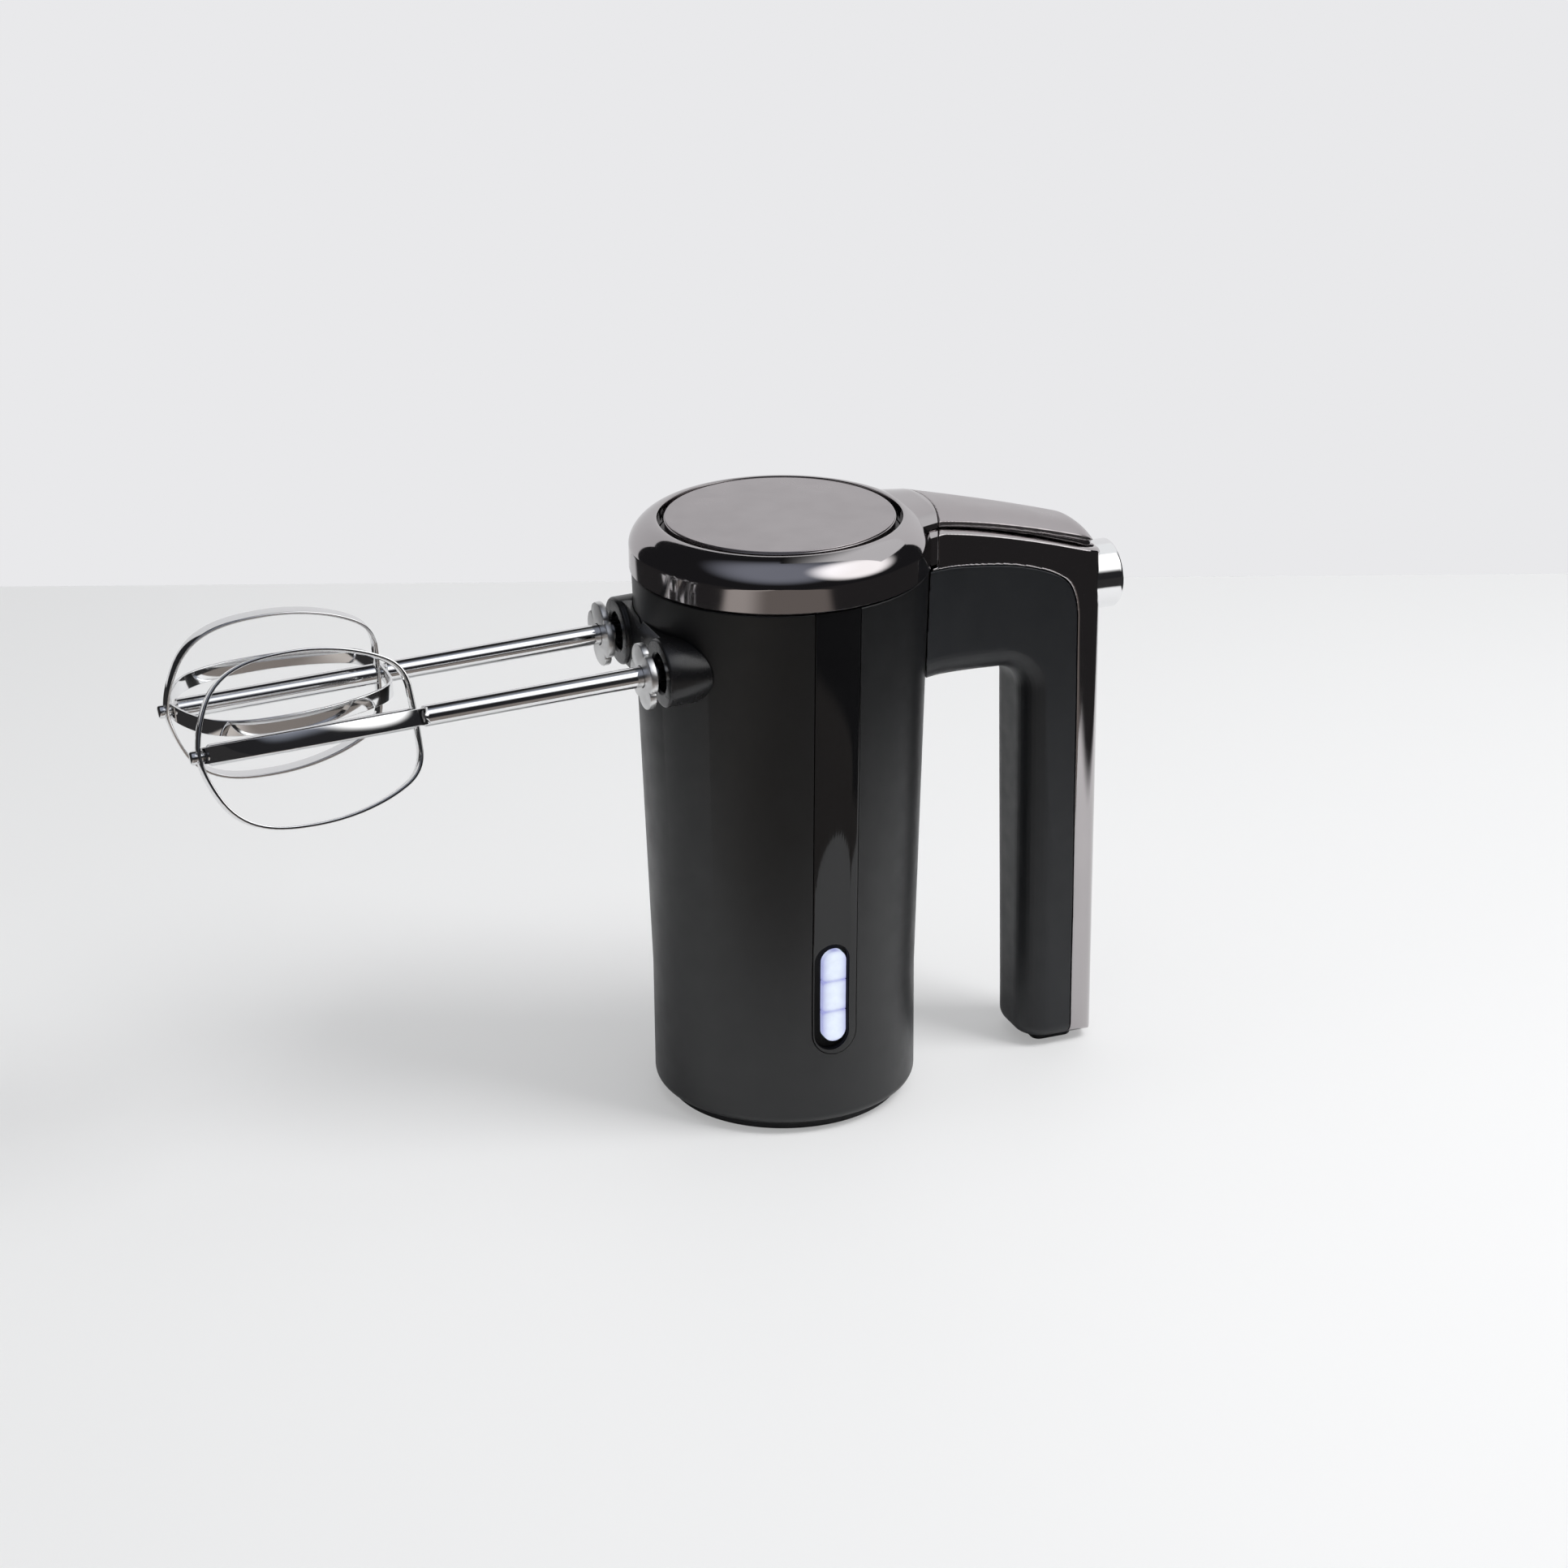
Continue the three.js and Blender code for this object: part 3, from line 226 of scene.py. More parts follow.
def plan_slab(name, outline, low, high):
    """An outline of (x, y) given height along z."""
    return slab(name, outline, low, high, lambda x, y, z: (x, y, z))


def block(low, high):
    """A box between two corners."""
    (x0, y0, z0), (x1, y1, z1) = low, high
    return plan_slab("block", [(x0, y0), (x1, y0), (x1, y1), (x0, y1)], z0, z1)


def lofted(sections, name="lofted", closed=False):
    """A skin over sections of as many points each, with its ends filled or joined."""
    rows, count = len(sections), len(sections[0])
    faces = []
    for i in range(rows if closed else rows - 1):
        j = (i + 1) % rows
        for k in range(count):
            m = (k + 1) % count
            faces.append([i * count + k, i * count + m, j * count + m, j * count + k])
    if not closed:
        faces += [list(range(count)), [rows * count - 1 - k for k in range(count)]]
    return mesh_object(name, [p for section in sections for p in section], faces)


def apply_modifiers(obj):
    graph = bpy.context.evaluated_depsgraph_get()
    mesh = bpy.data.meshes.new_from_object(obj.evaluated_get(graph))
    old = obj.data
    obj.modifiers.clear()
    obj.data = mesh
    bpy.data.meshes.remove(old)
    return obj


def combine(operation, target, *tools):
    """Cuts, joins or intersects, and removes the tools."""
    for tool in tools:
        given(target.modifiers.new(operation, "BOOLEAN"), operation=operation,
              solver="MANIFOLD", object=tool)
        apply_modifiers(target)
        bpy.data.objects.remove(tool)
    return target


def cut(target, *tools):
    return combine("DIFFERENCE", target, *tools)


def join(target, *tools):
    return combine("UNION", target, *tools)


def common(target, *tools):
    return combine("INTERSECT", target, *tools)


def moved(obj, matrix):
    obj.data.transform(matrix)
    return obj


def aimed(obj, point, direction):
    """Stands what was made along +Z at a point in millimetres, along a direction."""
    turn = Vector(direction).normalized().to_track_quat("Z", "Y").to_matrix().to_4x4()
    return moved(obj, Matrix.Translation(Vector(point) * MM) @ turn)


def rounded(obj, width, segments=3):
    """Rounds every sharp edge."""
    given(obj.modifiers.new("round", "BEVEL"), width=width * MM, segments=segments,
          limit_method="ANGLE", angle_limit=radians(40))
    return apply_modifiers(obj)


def refined(obj, voxel, passes=0):
    """One even skin of small faces. The passes soften its corners."""
    given(obj.modifiers.new("skin", "REMESH"), mode="VOXEL", voxel_size=voxel * MM)
    if passes:
        given(obj.modifiers.new("soft", "SMOOTH"), factor=0.5, iterations=passes)
    return apply_modifiers(obj)


def smooth(obj, angle=None):
    """Smooth shading, kept sharp at edges over the angle in degrees."""
    for polygon in obj.data.polygons:
        polygon.use_smooth = True
    if angle is not None:
        obj.data.set_sharp_from_angle(angle=radians(angle))
    return obj


def settled(obj, slot, *nodes, body="housing", look=None):
    """Rides on its body, stands for its CAD nodes, and takes its slot's look or its own."""
    obj.data.materials.clear()
    obj.data.materials.append(looks[look or slot])
    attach(obj, body)
    if nodes:
        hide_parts(*nodes)
    return obj


# -------- materials
looks = {}  # a material for each slot, and three more


def new_material(name):
    material = bpy.data.materials.new(name)
    material.use_nodes = True
    tree = material.node_tree
    return material, tree, tree.nodes["Principled BSDF"]


def feed(made, inputs):
    """Gives each input of a node its value, or links it to the socket given for it."""
    for key, value in inputs.items():
        if isinstance(value, bpy.types.NodeSocket):
            made.id_data.links.new(value, made.inputs[key])
        else:
            made.inputs[key].default_value = value


def node(tree, kind, inputs, **settings):
    """A shader node with its settings and inputs."""
    made = given(tree.nodes.new("ShaderNode" + kind), **settings)
    feed(made, inputs)
    return made


def noise(tree, scale, detail=3.0):
    """Noise in the object's own space, so it rides with the piece."""
    place = node(tree, "TexCoord", {}).outputs["Object"]
    inputs = {"Vector": place, "Scale": scale, "Detail": detail}
    return node(tree, "TexNoise", inputs).outputs["Fac"]


def spread(tree, value, low, high):
    """Stretches the middle of a noise, from 0.3 to 0.7, to low..high."""
    inputs = {"Value": value, "From Min": 0.3, "From Max": 0.7, "To Min": low, "To Max": high}
    return node(tree, "MapRange", inputs).outputs["Result"]


def two_tones(tree, value, dark, light):
    """A colour between two tones."""
    inputs = {"Factor": value, "A": (*dark, 1), "B": (*light, 1)}
    return node(tree, "Mix", inputs, data_type="RGBA").outputs["Result"]


def finish(name, dark, light, roughness, grain=None, drift=25.0, **sockets):
    """A moulded or plated finish: a slow drift of tone, uneven roughness and a fine grain.

    roughness is (low, high); grain is (size in mm, bump strength, bump height in mm).
    """
    looks[name], tree, shader = new_material(name)
    feed(shader, {key.replace("_", " "): value for key, value in sockets.items()})
    tone = spread(tree, noise(tree, drift), 0, 1)
    feed(shader, {"Base Color": two_tones(tree, tone, dark, light),
                  "Roughness": spread(tree, noise(tree, drift * 6), *roughness)})
    if grain:
        size, strength, height = grain
        bump = node(tree, "Bump", {"Strength": strength, "Distance": height * MM,
                                   "Height": noise(tree, 1 / (size * MM), 2.0)})
        feed(shader, {"Normal": bump.outputs["Normal"]})


finish("body_plastic", (0.0026, 0.0028, 0.0034), (0.0042, 0.0045, 0.0053), (0.36, 0.42),
       (0.35, 0.1, 0.02), Specular_IOR_Level=0.62)
finish("socket_plastic", (0.0055, 0.0055, 0.0062), (0.0085, 0.0085, 0.0092), (0.22, 0.3),
       (0.35, 0.06, 0.02))
finish("grip", (0.0052, 0.006, 0.008), (0.0074, 0.0084, 0.0106), (0.42, 0.5),
       (0.45, 0.14, 0.03), Specular_IOR_Level=0.54)
finish("gloss_plastic", (0.004, 0.004, 0.0045), (0.006, 0.006, 0.0065), (0.05, 0.08),
       (6.0, 0.02, 0.02))
# painted shade: a darker, duller copy of gloss_plastic, for the sunk place round the lens
finish("pan_painted_shade", (0.0016, 0.0016, 0.002), (0.0028, 0.0028, 0.0034), (0.3, 0.4),
       (0.6, 0.05, 0.02), Specular_IOR_Level=0.12)
finish("rubber", (0.01, 0.01, 0.011), (0.016, 0.016, 0.017), (0.6, 0.75), (0.5, 0.2, 0.04))
finish("dark_chrome", (0.435, 0.412, 0.416), (0.465, 0.44, 0.444), (0.055, 0.085),
       (7.0, 0.015, 0.02), Metallic=1.0)
finish("gunmetal", (0.42, 0.39, 0.396), (0.46, 0.428, 0.434), (0.27, 0.33), drift=18.0,
       Metallic=1.0)
finish("chrome", (0.8, 0.8, 0.8), (0.86, 0.86, 0.865), (0.05, 0.1), (5.0, 0.02, 0.02),
       Metallic=1.0)
finish("satin", (0.7, 0.7, 0.695), (0.8, 0.8, 0.795), (0.3, 0.42), (0.8, 0.2, 0.03), Metallic=1.0)
finish("steel", (0.5, 0.5, 0.51), (0.6, 0.6, 0.61), (0.25, 0.38), (0.6, 0.08, 0.02), Metallic=1.0)
finish("brass", (0.6, 0.43, 0.19), (0.7, 0.52, 0.25), (0.28, 0.4), (0.5, 0.08, 0.02), Metallic=1.0)
finish("nylon", (0.7, 0.67, 0.6), (0.78, 0.76, 0.7), (0.4, 0.5), (0.6, 0.08, 0.02),
       Subsurface_Weight=0.1)
finish("inner_plastic", (0.04, 0.041, 0.044), (0.055, 0.056, 0.06), (0.45, 0.55),
       (0.5, 0.12, 0.03))
finish("cell_wrap", (0.03, 0.11, 0.28), (0.04, 0.14, 0.33), (0.22, 0.32), (3.0, 0.05, 0.02))
finish("circuit_board", (0.01, 0.075, 0.03), (0.018, 0.11, 0.045), (0.3, 0.42), (0.8, 0.15, 0.03))


def lens_look():
    """Frosted lens lit from behind: white in the middle of each part, lilac at its edges."""
    looks["lens"], tree, shader = new_material("lens")
    lit = node(tree, "Attribute", {}, attribute_name="lit").outputs["Fac"]
    glow = node(tree, "VectorMath", {
        0: two_tones(tree, lit, (0.34, 0.36, 0.68), (0.8, 0.88, 1.0)),
        "Scale": spread(tree, noise(tree, 400), 0.92, 1.0)}, operation="SCALE")
    feed(shader, {"Base Color": (0.05, 0.05, 0.07, 1), "Roughness": 0.25,
                  "Emission Color": glow.outputs["Vector"], "Emission Strength": 0.97})


lens_look()


# -------- outlines
def body_radius(z):
    rise = max(0.0, z - taper_start) / (body_height - taper_start)
    return body_base_radius + (body_top_radius - body_base_radius) * rise


def arc(cx, cz, radius, start, end, steps):
    """Points (x, z) on an arc, angles in degrees from +x towards +z."""
    angles = [radians(start + (end - start) * i / steps) for i in range(steps + 1)]
    return [(cx + radius * cos(a), cz + radius * sin(a)) for a in angles]


def stadium(half_width, low, high, grow=0.0, middle=0.0):
    """An upright slot with round ends."""
    lower = arc(middle, low + half_width, half_width + grow, 180, 360, 20)
    upper = arc(middle, high - half_width, half_width + grow, 0, 180, 20)
    return lower + upper


def round_rectangle(x0, x1, half, r, steps):
    """A rectangle with round corners, from x0 to x1 and half to each side."""
    corners = ((x1 - r, half - r), (x0 + r, half - r), (x0 + r, r - half), (x1 - r, r - half))
    return [p for i, (x, y) in enumerate(corners)
            for p in arc(x, y, r, 90 * i, 90 * i + 90, steps)]


def inlay_outline(top, grow=0.0):
    return stadium(inlay_half_width, inlay_bottom, top, grow)


def lens_outline(grow=0.0):
    return stadium(lens_half_width, lens_bottom, lens_top, grow)


def recess_outline(grow):
    return stadium(recess_half, recess_low, recess_high, grow, recess_shift)


# -------- body
spindle_tip = Vector((-cos(beater_tilt), 0, -sin(beater_tilt)))


def socket_centre(side):
    """The middle of a socket's face. side is 1 towards +Y and -1 towards -Y."""
    return Vector((socket_face, side * half_spacing, socket_z))


def along_spindle(obj, side):
    return aimed(obj, socket_centre(side), spindle_tip)


def body_fill(offset):
    """Everything inside the shell's outer face, moved outward by the offset."""
    low, high = -5.0, body_height + 30
    side = [(body_radius(z) + offset, z) for z in (low, taper_start, high)]
    return turned("fill", [(0, low), *side, (0, high)], 240)


def wall_profile(inner, outer, heights):
    """A closed profile along the shell's outer face, between two offsets from it."""
    profile = [(body_radius(z) + outer, z) for z in heights]
    profile += [(body_radius(z) + inner, z) for z in reversed(heights)]
    return profile + profile[:1]


def front_tool(outline, near=20.0, far=80.0):
    """An outline of (x, z) on the front of the body, as a solid through the wall."""
    tool = slab("front", outline, -far, -near, lambda x, z, y: (x, y, z))
    return moved(tool, Matrix.Rotation(inlay_bearing, 4, "Z"))


def body_shell():
    """The shell, cut out for the strip, lens, sockets, handle carrier and charging socket."""
    ledge = 7.7  # height of the step inside, above the foot's opening
    opening = foot_high.x - 1.3
    edge = arc(body_base_radius - shell_edge, shell_low.z + shell_edge, shell_edge, -90, 0, 10)
    outer = [(body_radius(z), z) for z in (taper_start, shell_top - shell_brim)]
    top = arc(body_top_radius - shell_brim, shell_top - shell_brim, shell_brim, 10, 90, 5)
    inner = [(body_radius(z) - shell_wall, z) for z in (shell_top, taper_start)]
    outline = [(foot_high.x, shell_low.z), *edge, *outer, *top, *inner,
               (body_base_radius - shell_wall, ledge + 3), (opening, ledge),
               (opening, shell_low.z)]
    shell = turned("shell", outline + outline[:1], 288)
    groove = turned("groove", wall_profile(-1.2, 5, (0, taper_start, body_height + 20)), 360)
    sunk = turned("sunk", wall_profile(-recess_depth - 1.0, 5, (10, 80)), 360)
    cut(shell, common(groove, front_tool(inlay_outline(body_height + 40, gap))),
        common(sunk, front_tool(recess_outline(0.5))), front_tool(lens_outline(gap), 34.0, 60.0))
    for side in (1, -1):
        cut(shell, along_spindle(cylinder(boss_radius - 2.1, -25, 10, 96), side))
    near, far = 20, 60  # through the rear wall
    cut(shell, block((near, -carrier_half, carrier_low), (far, carrier_half, carrier_high)),
        block((near, port_low.y - gap, port_low.z - gap),
              (far, port_high.y + gap, port_high.z + gap)))
    return smooth(shell, 30)


def foot():
    radius, edge = foot_high.x, 0.8
    profile = [(0, foot_low.z), (radius - edge, foot_low.z),
               *arc(radius - edge, edge, edge, -90, 0, 5), (radius, foot_high.z), (0, foot_high.z)]
    return smooth(turned("foot", profile, 240), 30)


settled(body_shell(), "body_plastic", "body_shell")
settled(foot(), "rubber", "foot_pad")


# -------- indicator
def front_skin(name, inner, outer, low, high):
    """A slice of wall over the front of the body, between two offsets from its face."""
    heights = [low, taper_start, high] if low < taper_start < high else [low, high]
    middle, half = -pi / 2 + inlay_bearing, 0.32
    profile = wall_profile(inner, outer, heights)
    return turned(name, profile, 160, (middle - half, middle + half))


def inlay():
    strip = common(front_skin("inlay", -0.9, 0.1, 10, shell_top),
                   front_tool(inlay_outline(body_height + 40)))
    cut(strip, front_tool(recess_outline(-gap)))
    return smooth(rounded(strip, 0.22), 35)


def lens_pan():
    """The floor and wall of the sunk place round the lens, in a darker, duller look than the strip:
    painted shade.
    """
    low, high = 12, recess_high + 6
    pan = common(front_skin("lens_pan", -recess_depth - 0.8, -0.25, low, high),
                 front_tool(recess_outline(0.2)))
    sunk = common(front_skin("sunk", -recess_depth, 3.0, low, high),
                  front_tool(recess_outline(-0.5)))
    cut(pan, sunk, front_tool(lens_outline(gap)))
    return smooth(rounded(pan, 0.15, 2), 35)


def lens_parts():
    """Three lit blocks in a row, with thin dark webs between them."""
    count, web = 3, 0.18
    height = (lens_top - lens_bottom) / count
    middle_x = (lens_low.x + lens_high.x) / 2
    made = []
    for i in range(count):
        low, high = lens_bottom + i * height, lens_bottom + (i + 1) * height
        floor = low + (web if i else -1)
        ceiling = high - (web if i < count - 1 else -1)
        part = common(front_skin(f"lens_part_{i + 1}", -3.0, -0.45, 20, 80),
                      front_tool(lens_outline()), block((-20, -60, floor), (20, -20, ceiling)))
        smooth(refined(rounded(part, 0.55, 4), 0.16))
        lit = part.data.attributes.new("lit", "FLOAT", "POINT")
        for v in part.data.vertices:
            across = abs(v.co.x / MM - middle_x) / lens_half_width
            down = abs(v.co.z / MM - (low + high) / 2) / (height / 2)
            lit.data[v.index].value = max(0.0, 1 - 0.8 * across ** 2.6 - 0.9 * down ** 10)
        made.append(part)
    return made


settled(inlay(), "gloss_plastic", "inlay_strip")
# the sunk place round the lens takes the darker look, as painted shade
settled(lens_pan(), "gloss_plastic", look="pan_painted_shade")
for part in lens_parts():
    settled(part, "lens", "led_lens")

# -------- handle
cover_rise = 4.7  # crown of the cover above its lower edge
cover_inset = 1.9  # the cover's sides stand in from the handle's sides
cover_back = leg_back - 1.6  # and its rear end from the handle's rear
cover_lip = 1.6  # upright edge round the cover
rear_round = 9.5  # the cover's top turns down at the rear
core_inset, core_rear = 4.6, 3.6  # what closes the slot, in from the sides and the rear
well_inset, well_rear = 2.5, 1.6  # the slot drops behind the rounded edge,
well_depth = 3.0  # and by this much
bevel_width, bevel_end = 3.0, 1.3  # sloping edge of the band, at the ring and the rear
bevel_drop = 1.35
rear_bevel = 3.2  # radius of the band's rear edge


def share_of_arm(x):
    return max(0.0, (x - ring_radius) / (leg_back - ring_radius))


def along_arm(x, near, rear):
    """A size that changes evenly from the ring to the rear."""
    return near + (rear - near) * min(1.0, share_of_arm(x))


def slot_height(x):
    """The dark slot under the cover opens towards the rear."""
    return min(1.9, along_arm(x, 0.3, 2.2))


def handle_half_width(x):
    """Half the handle's width: flared at the body and round at the rear."""
    round_from = leg_back - 10
    flare = root_flare * exp(-(x - body_top_radius + 1.3) / 20)
    past = min(1.0, max(0.0, x - round_from) / (leg_back - round_from))
    return (leg_half_width + flare) * max(0.0, 1 - past ** 2.5) ** 0.4


def cover_edge(x):
    """Height of the cover's lower edge."""
    share = share_of_arm(x)
    return ring_top - 5.5 - 12 * share - 4.2 * share ** 2


def cover_line(offset):
    """The cover's lower edge as a line of (x, z), moved up by the offset."""
    xs = [ring_radius + (leg_back - ring_radius) * (-0.4 + 1.5 * i / 60) for i in range(61)]
    return [(x, cover_edge(x) + offset) for x in xs]


def handle_top(x, y):
    """Height of the cover's crowned top."""
    past = min(1.0, max(0.0, (x - cover_back + rear_round) / rear_round))
    corner = rear_round * (1 - sqrt(1 - past ** 2))
    half = leg_half_width + root_flare * exp(-(x - body_top_radius) / 20) - cover_inset
    across = min(1.3, abs(y) / half)
    return cover_edge(x) + cover_rise - corner - (cover_rise - cover_lip) * across ** 2.6


def under_top():
    """The crowned top of the cover, as the solid below it."""
    start, half, floor = 30, 28, 60
    nx, ny = 150, 56
    xs = [start + (leg_back - start) * i / nx for i in range(nx + 1)]
    ys = [-half + 2 * half * j / ny for j in range(ny + 1)]
    return lofted([[(x, -half, floor)] + [(x, y, handle_top(x, y)) for y in ys]
                   + [(x, half, floor)] for x in xs])


def under_shoulder():
    """The handle below its cover: a flat top that slopes down to the sides and the rear."""
    sections = []
    steps = 120
    for i in range(steps + 1):
        x = handle_start + (leg_back - handle_start) * (1 - (1 - i / steps) ** 2)
        past = max(0.0, 1 - (leg_back - x) / rear_bevel)
        top = cover_edge(x) - slot_height(x) - rear_bevel * (1 - sqrt(1 - past ** 2))
        half = max(handle_half_width(x), 0.02)
        width = min(along_arm(x, bevel_width, bevel_end), half)
        edge = top - bevel_drop * width / bevel_width
        near = [(-half, under), (-half, edge - 0.3), (0.3 * width / bevel_width - half, edge),
                (width - half, top)]
        sections.append([(x, y, z) for y, z in near] + [(x, -y, z) for y, z in reversed(near)])
    return lofted(sections)


def handle_plan(inset=0.0, back=leg_back, rear_inset=None):
    """The handle seen from above, drawn in by the insets, as a solid taller than the mixer."""
    rear_inset = inset if rear_inset is None else rear_inset
    steps = 90
    stations = []
    for i in range(steps + 1):
        share = 1 - (1 - i / steps) ** 1.9
        half = handle_half_width(handle_start + (leg_back - handle_start) * share)
        x = handle_start + (back - handle_start) * share
        drawn_in = along_arm(x, inset, rear_inset) * min(1.0, half / 6)
        stations.append((x, max(0.0, half - drawn_in)))
    near = [(x, -half) for x, half in stations]
    return plan_slab("plan", near + stations[-2::-1], under, over)


def grip_section(x, z, bearing, half_width, depth, edge=grip_round):
    """Across the handle: it starts on the inner side of the loop, where its edges are round."""
    steps = 10
    turns = [i * pi / 2 / steps for i in range(steps + 1)]
    corner = [(edge * (1 - sin(a)), half_width - edge + edge * cos(a)) for a in turns]
    points = [(depth, -half_width)] + [(out, -y) for out, y in corner]
    points += corner[::-1] + [(depth, half_width)]
    run_x, run_z = sin(bearing), cos(bearing)
    return [(x + out * run_x, y, z + out * run_z) for out, y in points]


def grip_run():
    """The arm, the inner corner and the leg as one smooth run of sections."""
    corner_x = leg_front - leg_taper - inner_corner
    corner_z = arm_underside - inner_corner
    through = 90  # past the handle's top and rear
    sections = []
    steps = 24
    for i in range(steps + 1):
        share = -0.9 + 1.6 * i / steps  # from inside the body to near the corner
        x = ring_radius + (corner_x - ring_radius) * share
        low = arm_underside + arm_rise * (1 - max(0, share))
        sections.append(grip_section(x, low, 0, handle_half_width(x), through))
    for i in range(steps + 1):
        bearing = i * pi / 2 / steps
        x = corner_x + inner_corner * sin(bearing)
        z = corner_z + inner_corner * cos(bearing)
        sections.append(grip_section(x, z, bearing, handle_half_width(x), through))
    extra = handle_half_width(corner_x + inner_corner) - leg_half_width
    for i in range(1, 30):
        share = i / 30
        x = leg_front - leg_taper * (1 - share)
        half = leg_half_width + extra * (1 - share ** 2 * (3 - 2 * share))
        z = corner_z + (leg_end + leg_end_round - corner_z) * share
        sections.append(grip_section(x, z, pi / 2, half, leg_back - x + 0.5))
    for i in range(9):
        a = i * pi / 2 / 8
        inset = leg_end_round * (1 - cos(a))
        z = leg_end + leg_end_round * (1 - sin(a))
        sections.append(grip_section(leg_front + inset, z, pi / 2, leg_half_width - inset,
                                     leg_back - leg_front + 0.5 - 2 * inset,
                                     grip_round - inset / 2))
    return lofted(sections)


def between(line, z):
    """Everything between a line of (x, z) and a height."""
    return side_slab(line + [(line[-1][0], z), (line[0][0], z)])


def core(reach):
    """What closes the slot from inside, up to a distance from the cover's underside."""
    return common(between(cover_line(reach), under),
                  handle_plan(core_inset, cover_back, core_rear))


def lower_blank(reach=-gap):
    """The handle up to the slot under its cover. The slot is deep behind the rounded edge."""
    body = common(handle_plan(), under_shoulder())
    floor = [(x, z - slot_height(x) - well_depth) for x, z in cover_line(0)]
    well = common(handle_plan(well_inset, leg_back - well_rear, well_rear), between(floor, over))
    return common(join(cut(body, well), core(reach)), grip_run())


def cover_blank():
    return common(between(cover_line(0), over), under_top(), handle_plan(cover_inset, cover_back))


def spline(points, steps):
    """A smooth curve through the points, evenly divided in its parameter."""
    out = []
    for k in range(steps + 1):
        p = (len(points) - 1) * k / steps
        i = min(int(p), len(points) - 2)
        w = p - i
        near = [points[min(max(j, 0), len(points) - 1)] for j in (i - 1, i, i + 1, i + 2)]
        value = []
        for a, b, c, d in zip(*near):
            v0, v1 = (c - a) / 2, (d - b) / 2
            value.append((2 * b - 2 * c + v0 + v1) * w ** 3
                         + (-3 * b + 3 * c - 2 * v0 - v1) * w ** 2 + v0 * w + b)
        out.append(tuple(value))
    return out


# where the grip meets the band: share of the way to the band's front, drop below the ring's top
grip_line_knots = [(-0.4, 18.4), (0, 19), (0.26, 20.6), (0.54, 23), (0.78, 26.8), (0.92, 31.2),
                   (0.98, 37), (1, 44)]


def grip_line(offset):
    run = spine_front - ring_radius
    knots = [(ring_radius + run * share, ring_top - drop) for share, drop in grip_line_knots]
    points = spline(knots, 80)
    return [(x + offset * i / len(points), z + offset) for i, (x, z) in enumerate(points)]


def handle_regions():
    """The side views of the band and of the grip, with a gap between them."""
    far = leg_back + 20
    lower, upper = grip_line(gap / 2), grip_line(-gap / 2)
    foot_x = spine_front + leg_taper / 2
    spine = lower + [(foot_x + gap / 2, under), (far, under), (far, over), (0, over),
                     (0, lower[0][1])]
    grip = upper + [(foot_x - gap / 2, under), (0, under), (0, upper[0][1])]
    return {"spine": spine, "grip": grip}


button_mouth = leg_back - 13.5  # from here the button's channel is round


def hollow():
    """Room for the carrier, in side view: along the arm, then down the leg."""
    start, floor = 20, 10
    front, back, ledge = leg_front + 6, leg_back - 5, carrier_low - 1.5
    return side_slab([(start, carrier_low), (front, carrier_low), (front, floor), (back, floor),
                      (back, ledge), (button_mouth, ledge), (button_mouth, carrier_high),
                      (start, carrier_high)], carrier_half)


def handle():
    """The cover, the band and the grip."""
    made = {"cover": cut(cover_blank(), cylinder(tongue_radius + gap, body_height, sky))}
    for name, region in handle_regions().items():
        piece = common(lower_blank(), side_slab(region))
        cut(piece, body_fill(gap), cylinder(ring_radius + gap, body_height - 1, sky))
        if name == "spine":
            cut(piece, cylinder(tongue_radius + gap, body_height, sky))
        cut(piece, hollow(), aimed(cylinder(button_radius + 0.4, 0, 40, 96),
                                   (button_mouth, 0, button_z), (1, 0, 0)))
        made[name] = piece
    for name, piece in made.items():
        piece.name = name
        smooth(refined(piece, 0.32, 2))
    return made


def handle_pad():
    outline = round_rectangle(pad_low.x, pad_high.x, pad_high.y, 3.0, 8)
    return smooth(rounded(plan_slab("handle_pad", outline, pad_low.z, pad_high.z), 0.6), 40)


for (name, piece), slot in zip(handle().items(), ("gunmetal", "dark_chrome", "grip")):
    settled(piece, slot, f"handle_{name}")
settled(handle_pad(), "rubber", "handle_foot")


# -------- ring and dial
def ring():
    """The plated ring, with the tongue that meets the handle."""
    band_top = ring_base + ring_band
    crest = ring_top - lip_drop
    outer, inner = ring_radius - ring_wall, lip_radius + ring_wall
    seat = lip_radius - 2.6
    skirt = body_top_radius - shell_wall - 0.4
    skirt_end = body_height - 4.2
    run = ring_radius - lip_radius - 0.6
    shoulder = []
    for i in range(33):
        a = pi / 2 * i / 32
        shoulder.append((lip_radius + 0.6 + run * max(0, cos(a)) ** 1.2,
                         band_top + (crest - band_top) * sin(a) ** 1.2))
    profile = [(skirt, skirt_end), (skirt, ring_base), (ring_radius - 0.35, ring_base),
               (ring_radius, ring_base + 0.35), (ring_radius, ring_base + 0.8),
               (ring_radius, band_top - 0.4), *shoulder, (lip_radius + 0.15, crest - 0.15),
               (lip_radius, crest - 0.5), (lip_radius, seat_floor + gap), (seat, seat_floor + gap),
               (seat, seat_floor - 1.8), (inner, seat_floor - 1.8), (inner, ring_top - 4),
               (ring_radius - 4, band_top - 1), (outer, ring_base + ring_wall),
               (skirt - 1.8, ring_base + ring_wall), (skirt - 1.8, skirt_end), (skirt, skirt_end)]
    body = turned("ring", profile, 360)
    inside = turned("inside", [(0, 0), (outer, 0), (outer, body_height + 2.7),
                               (inner, ring_top - 4), (lip_radius + 1, ring_top - 4),
                               (lip_radius + 1, over), (0, over)], 240)
    reach = cylinder(tongue_radius, ring_base, ring_top + 5, 360)
    tongue = cut(common(join(cover_blank(), lower_blank(1.0)), reach), inside)
    return smooth(join(body, tongue), 28)


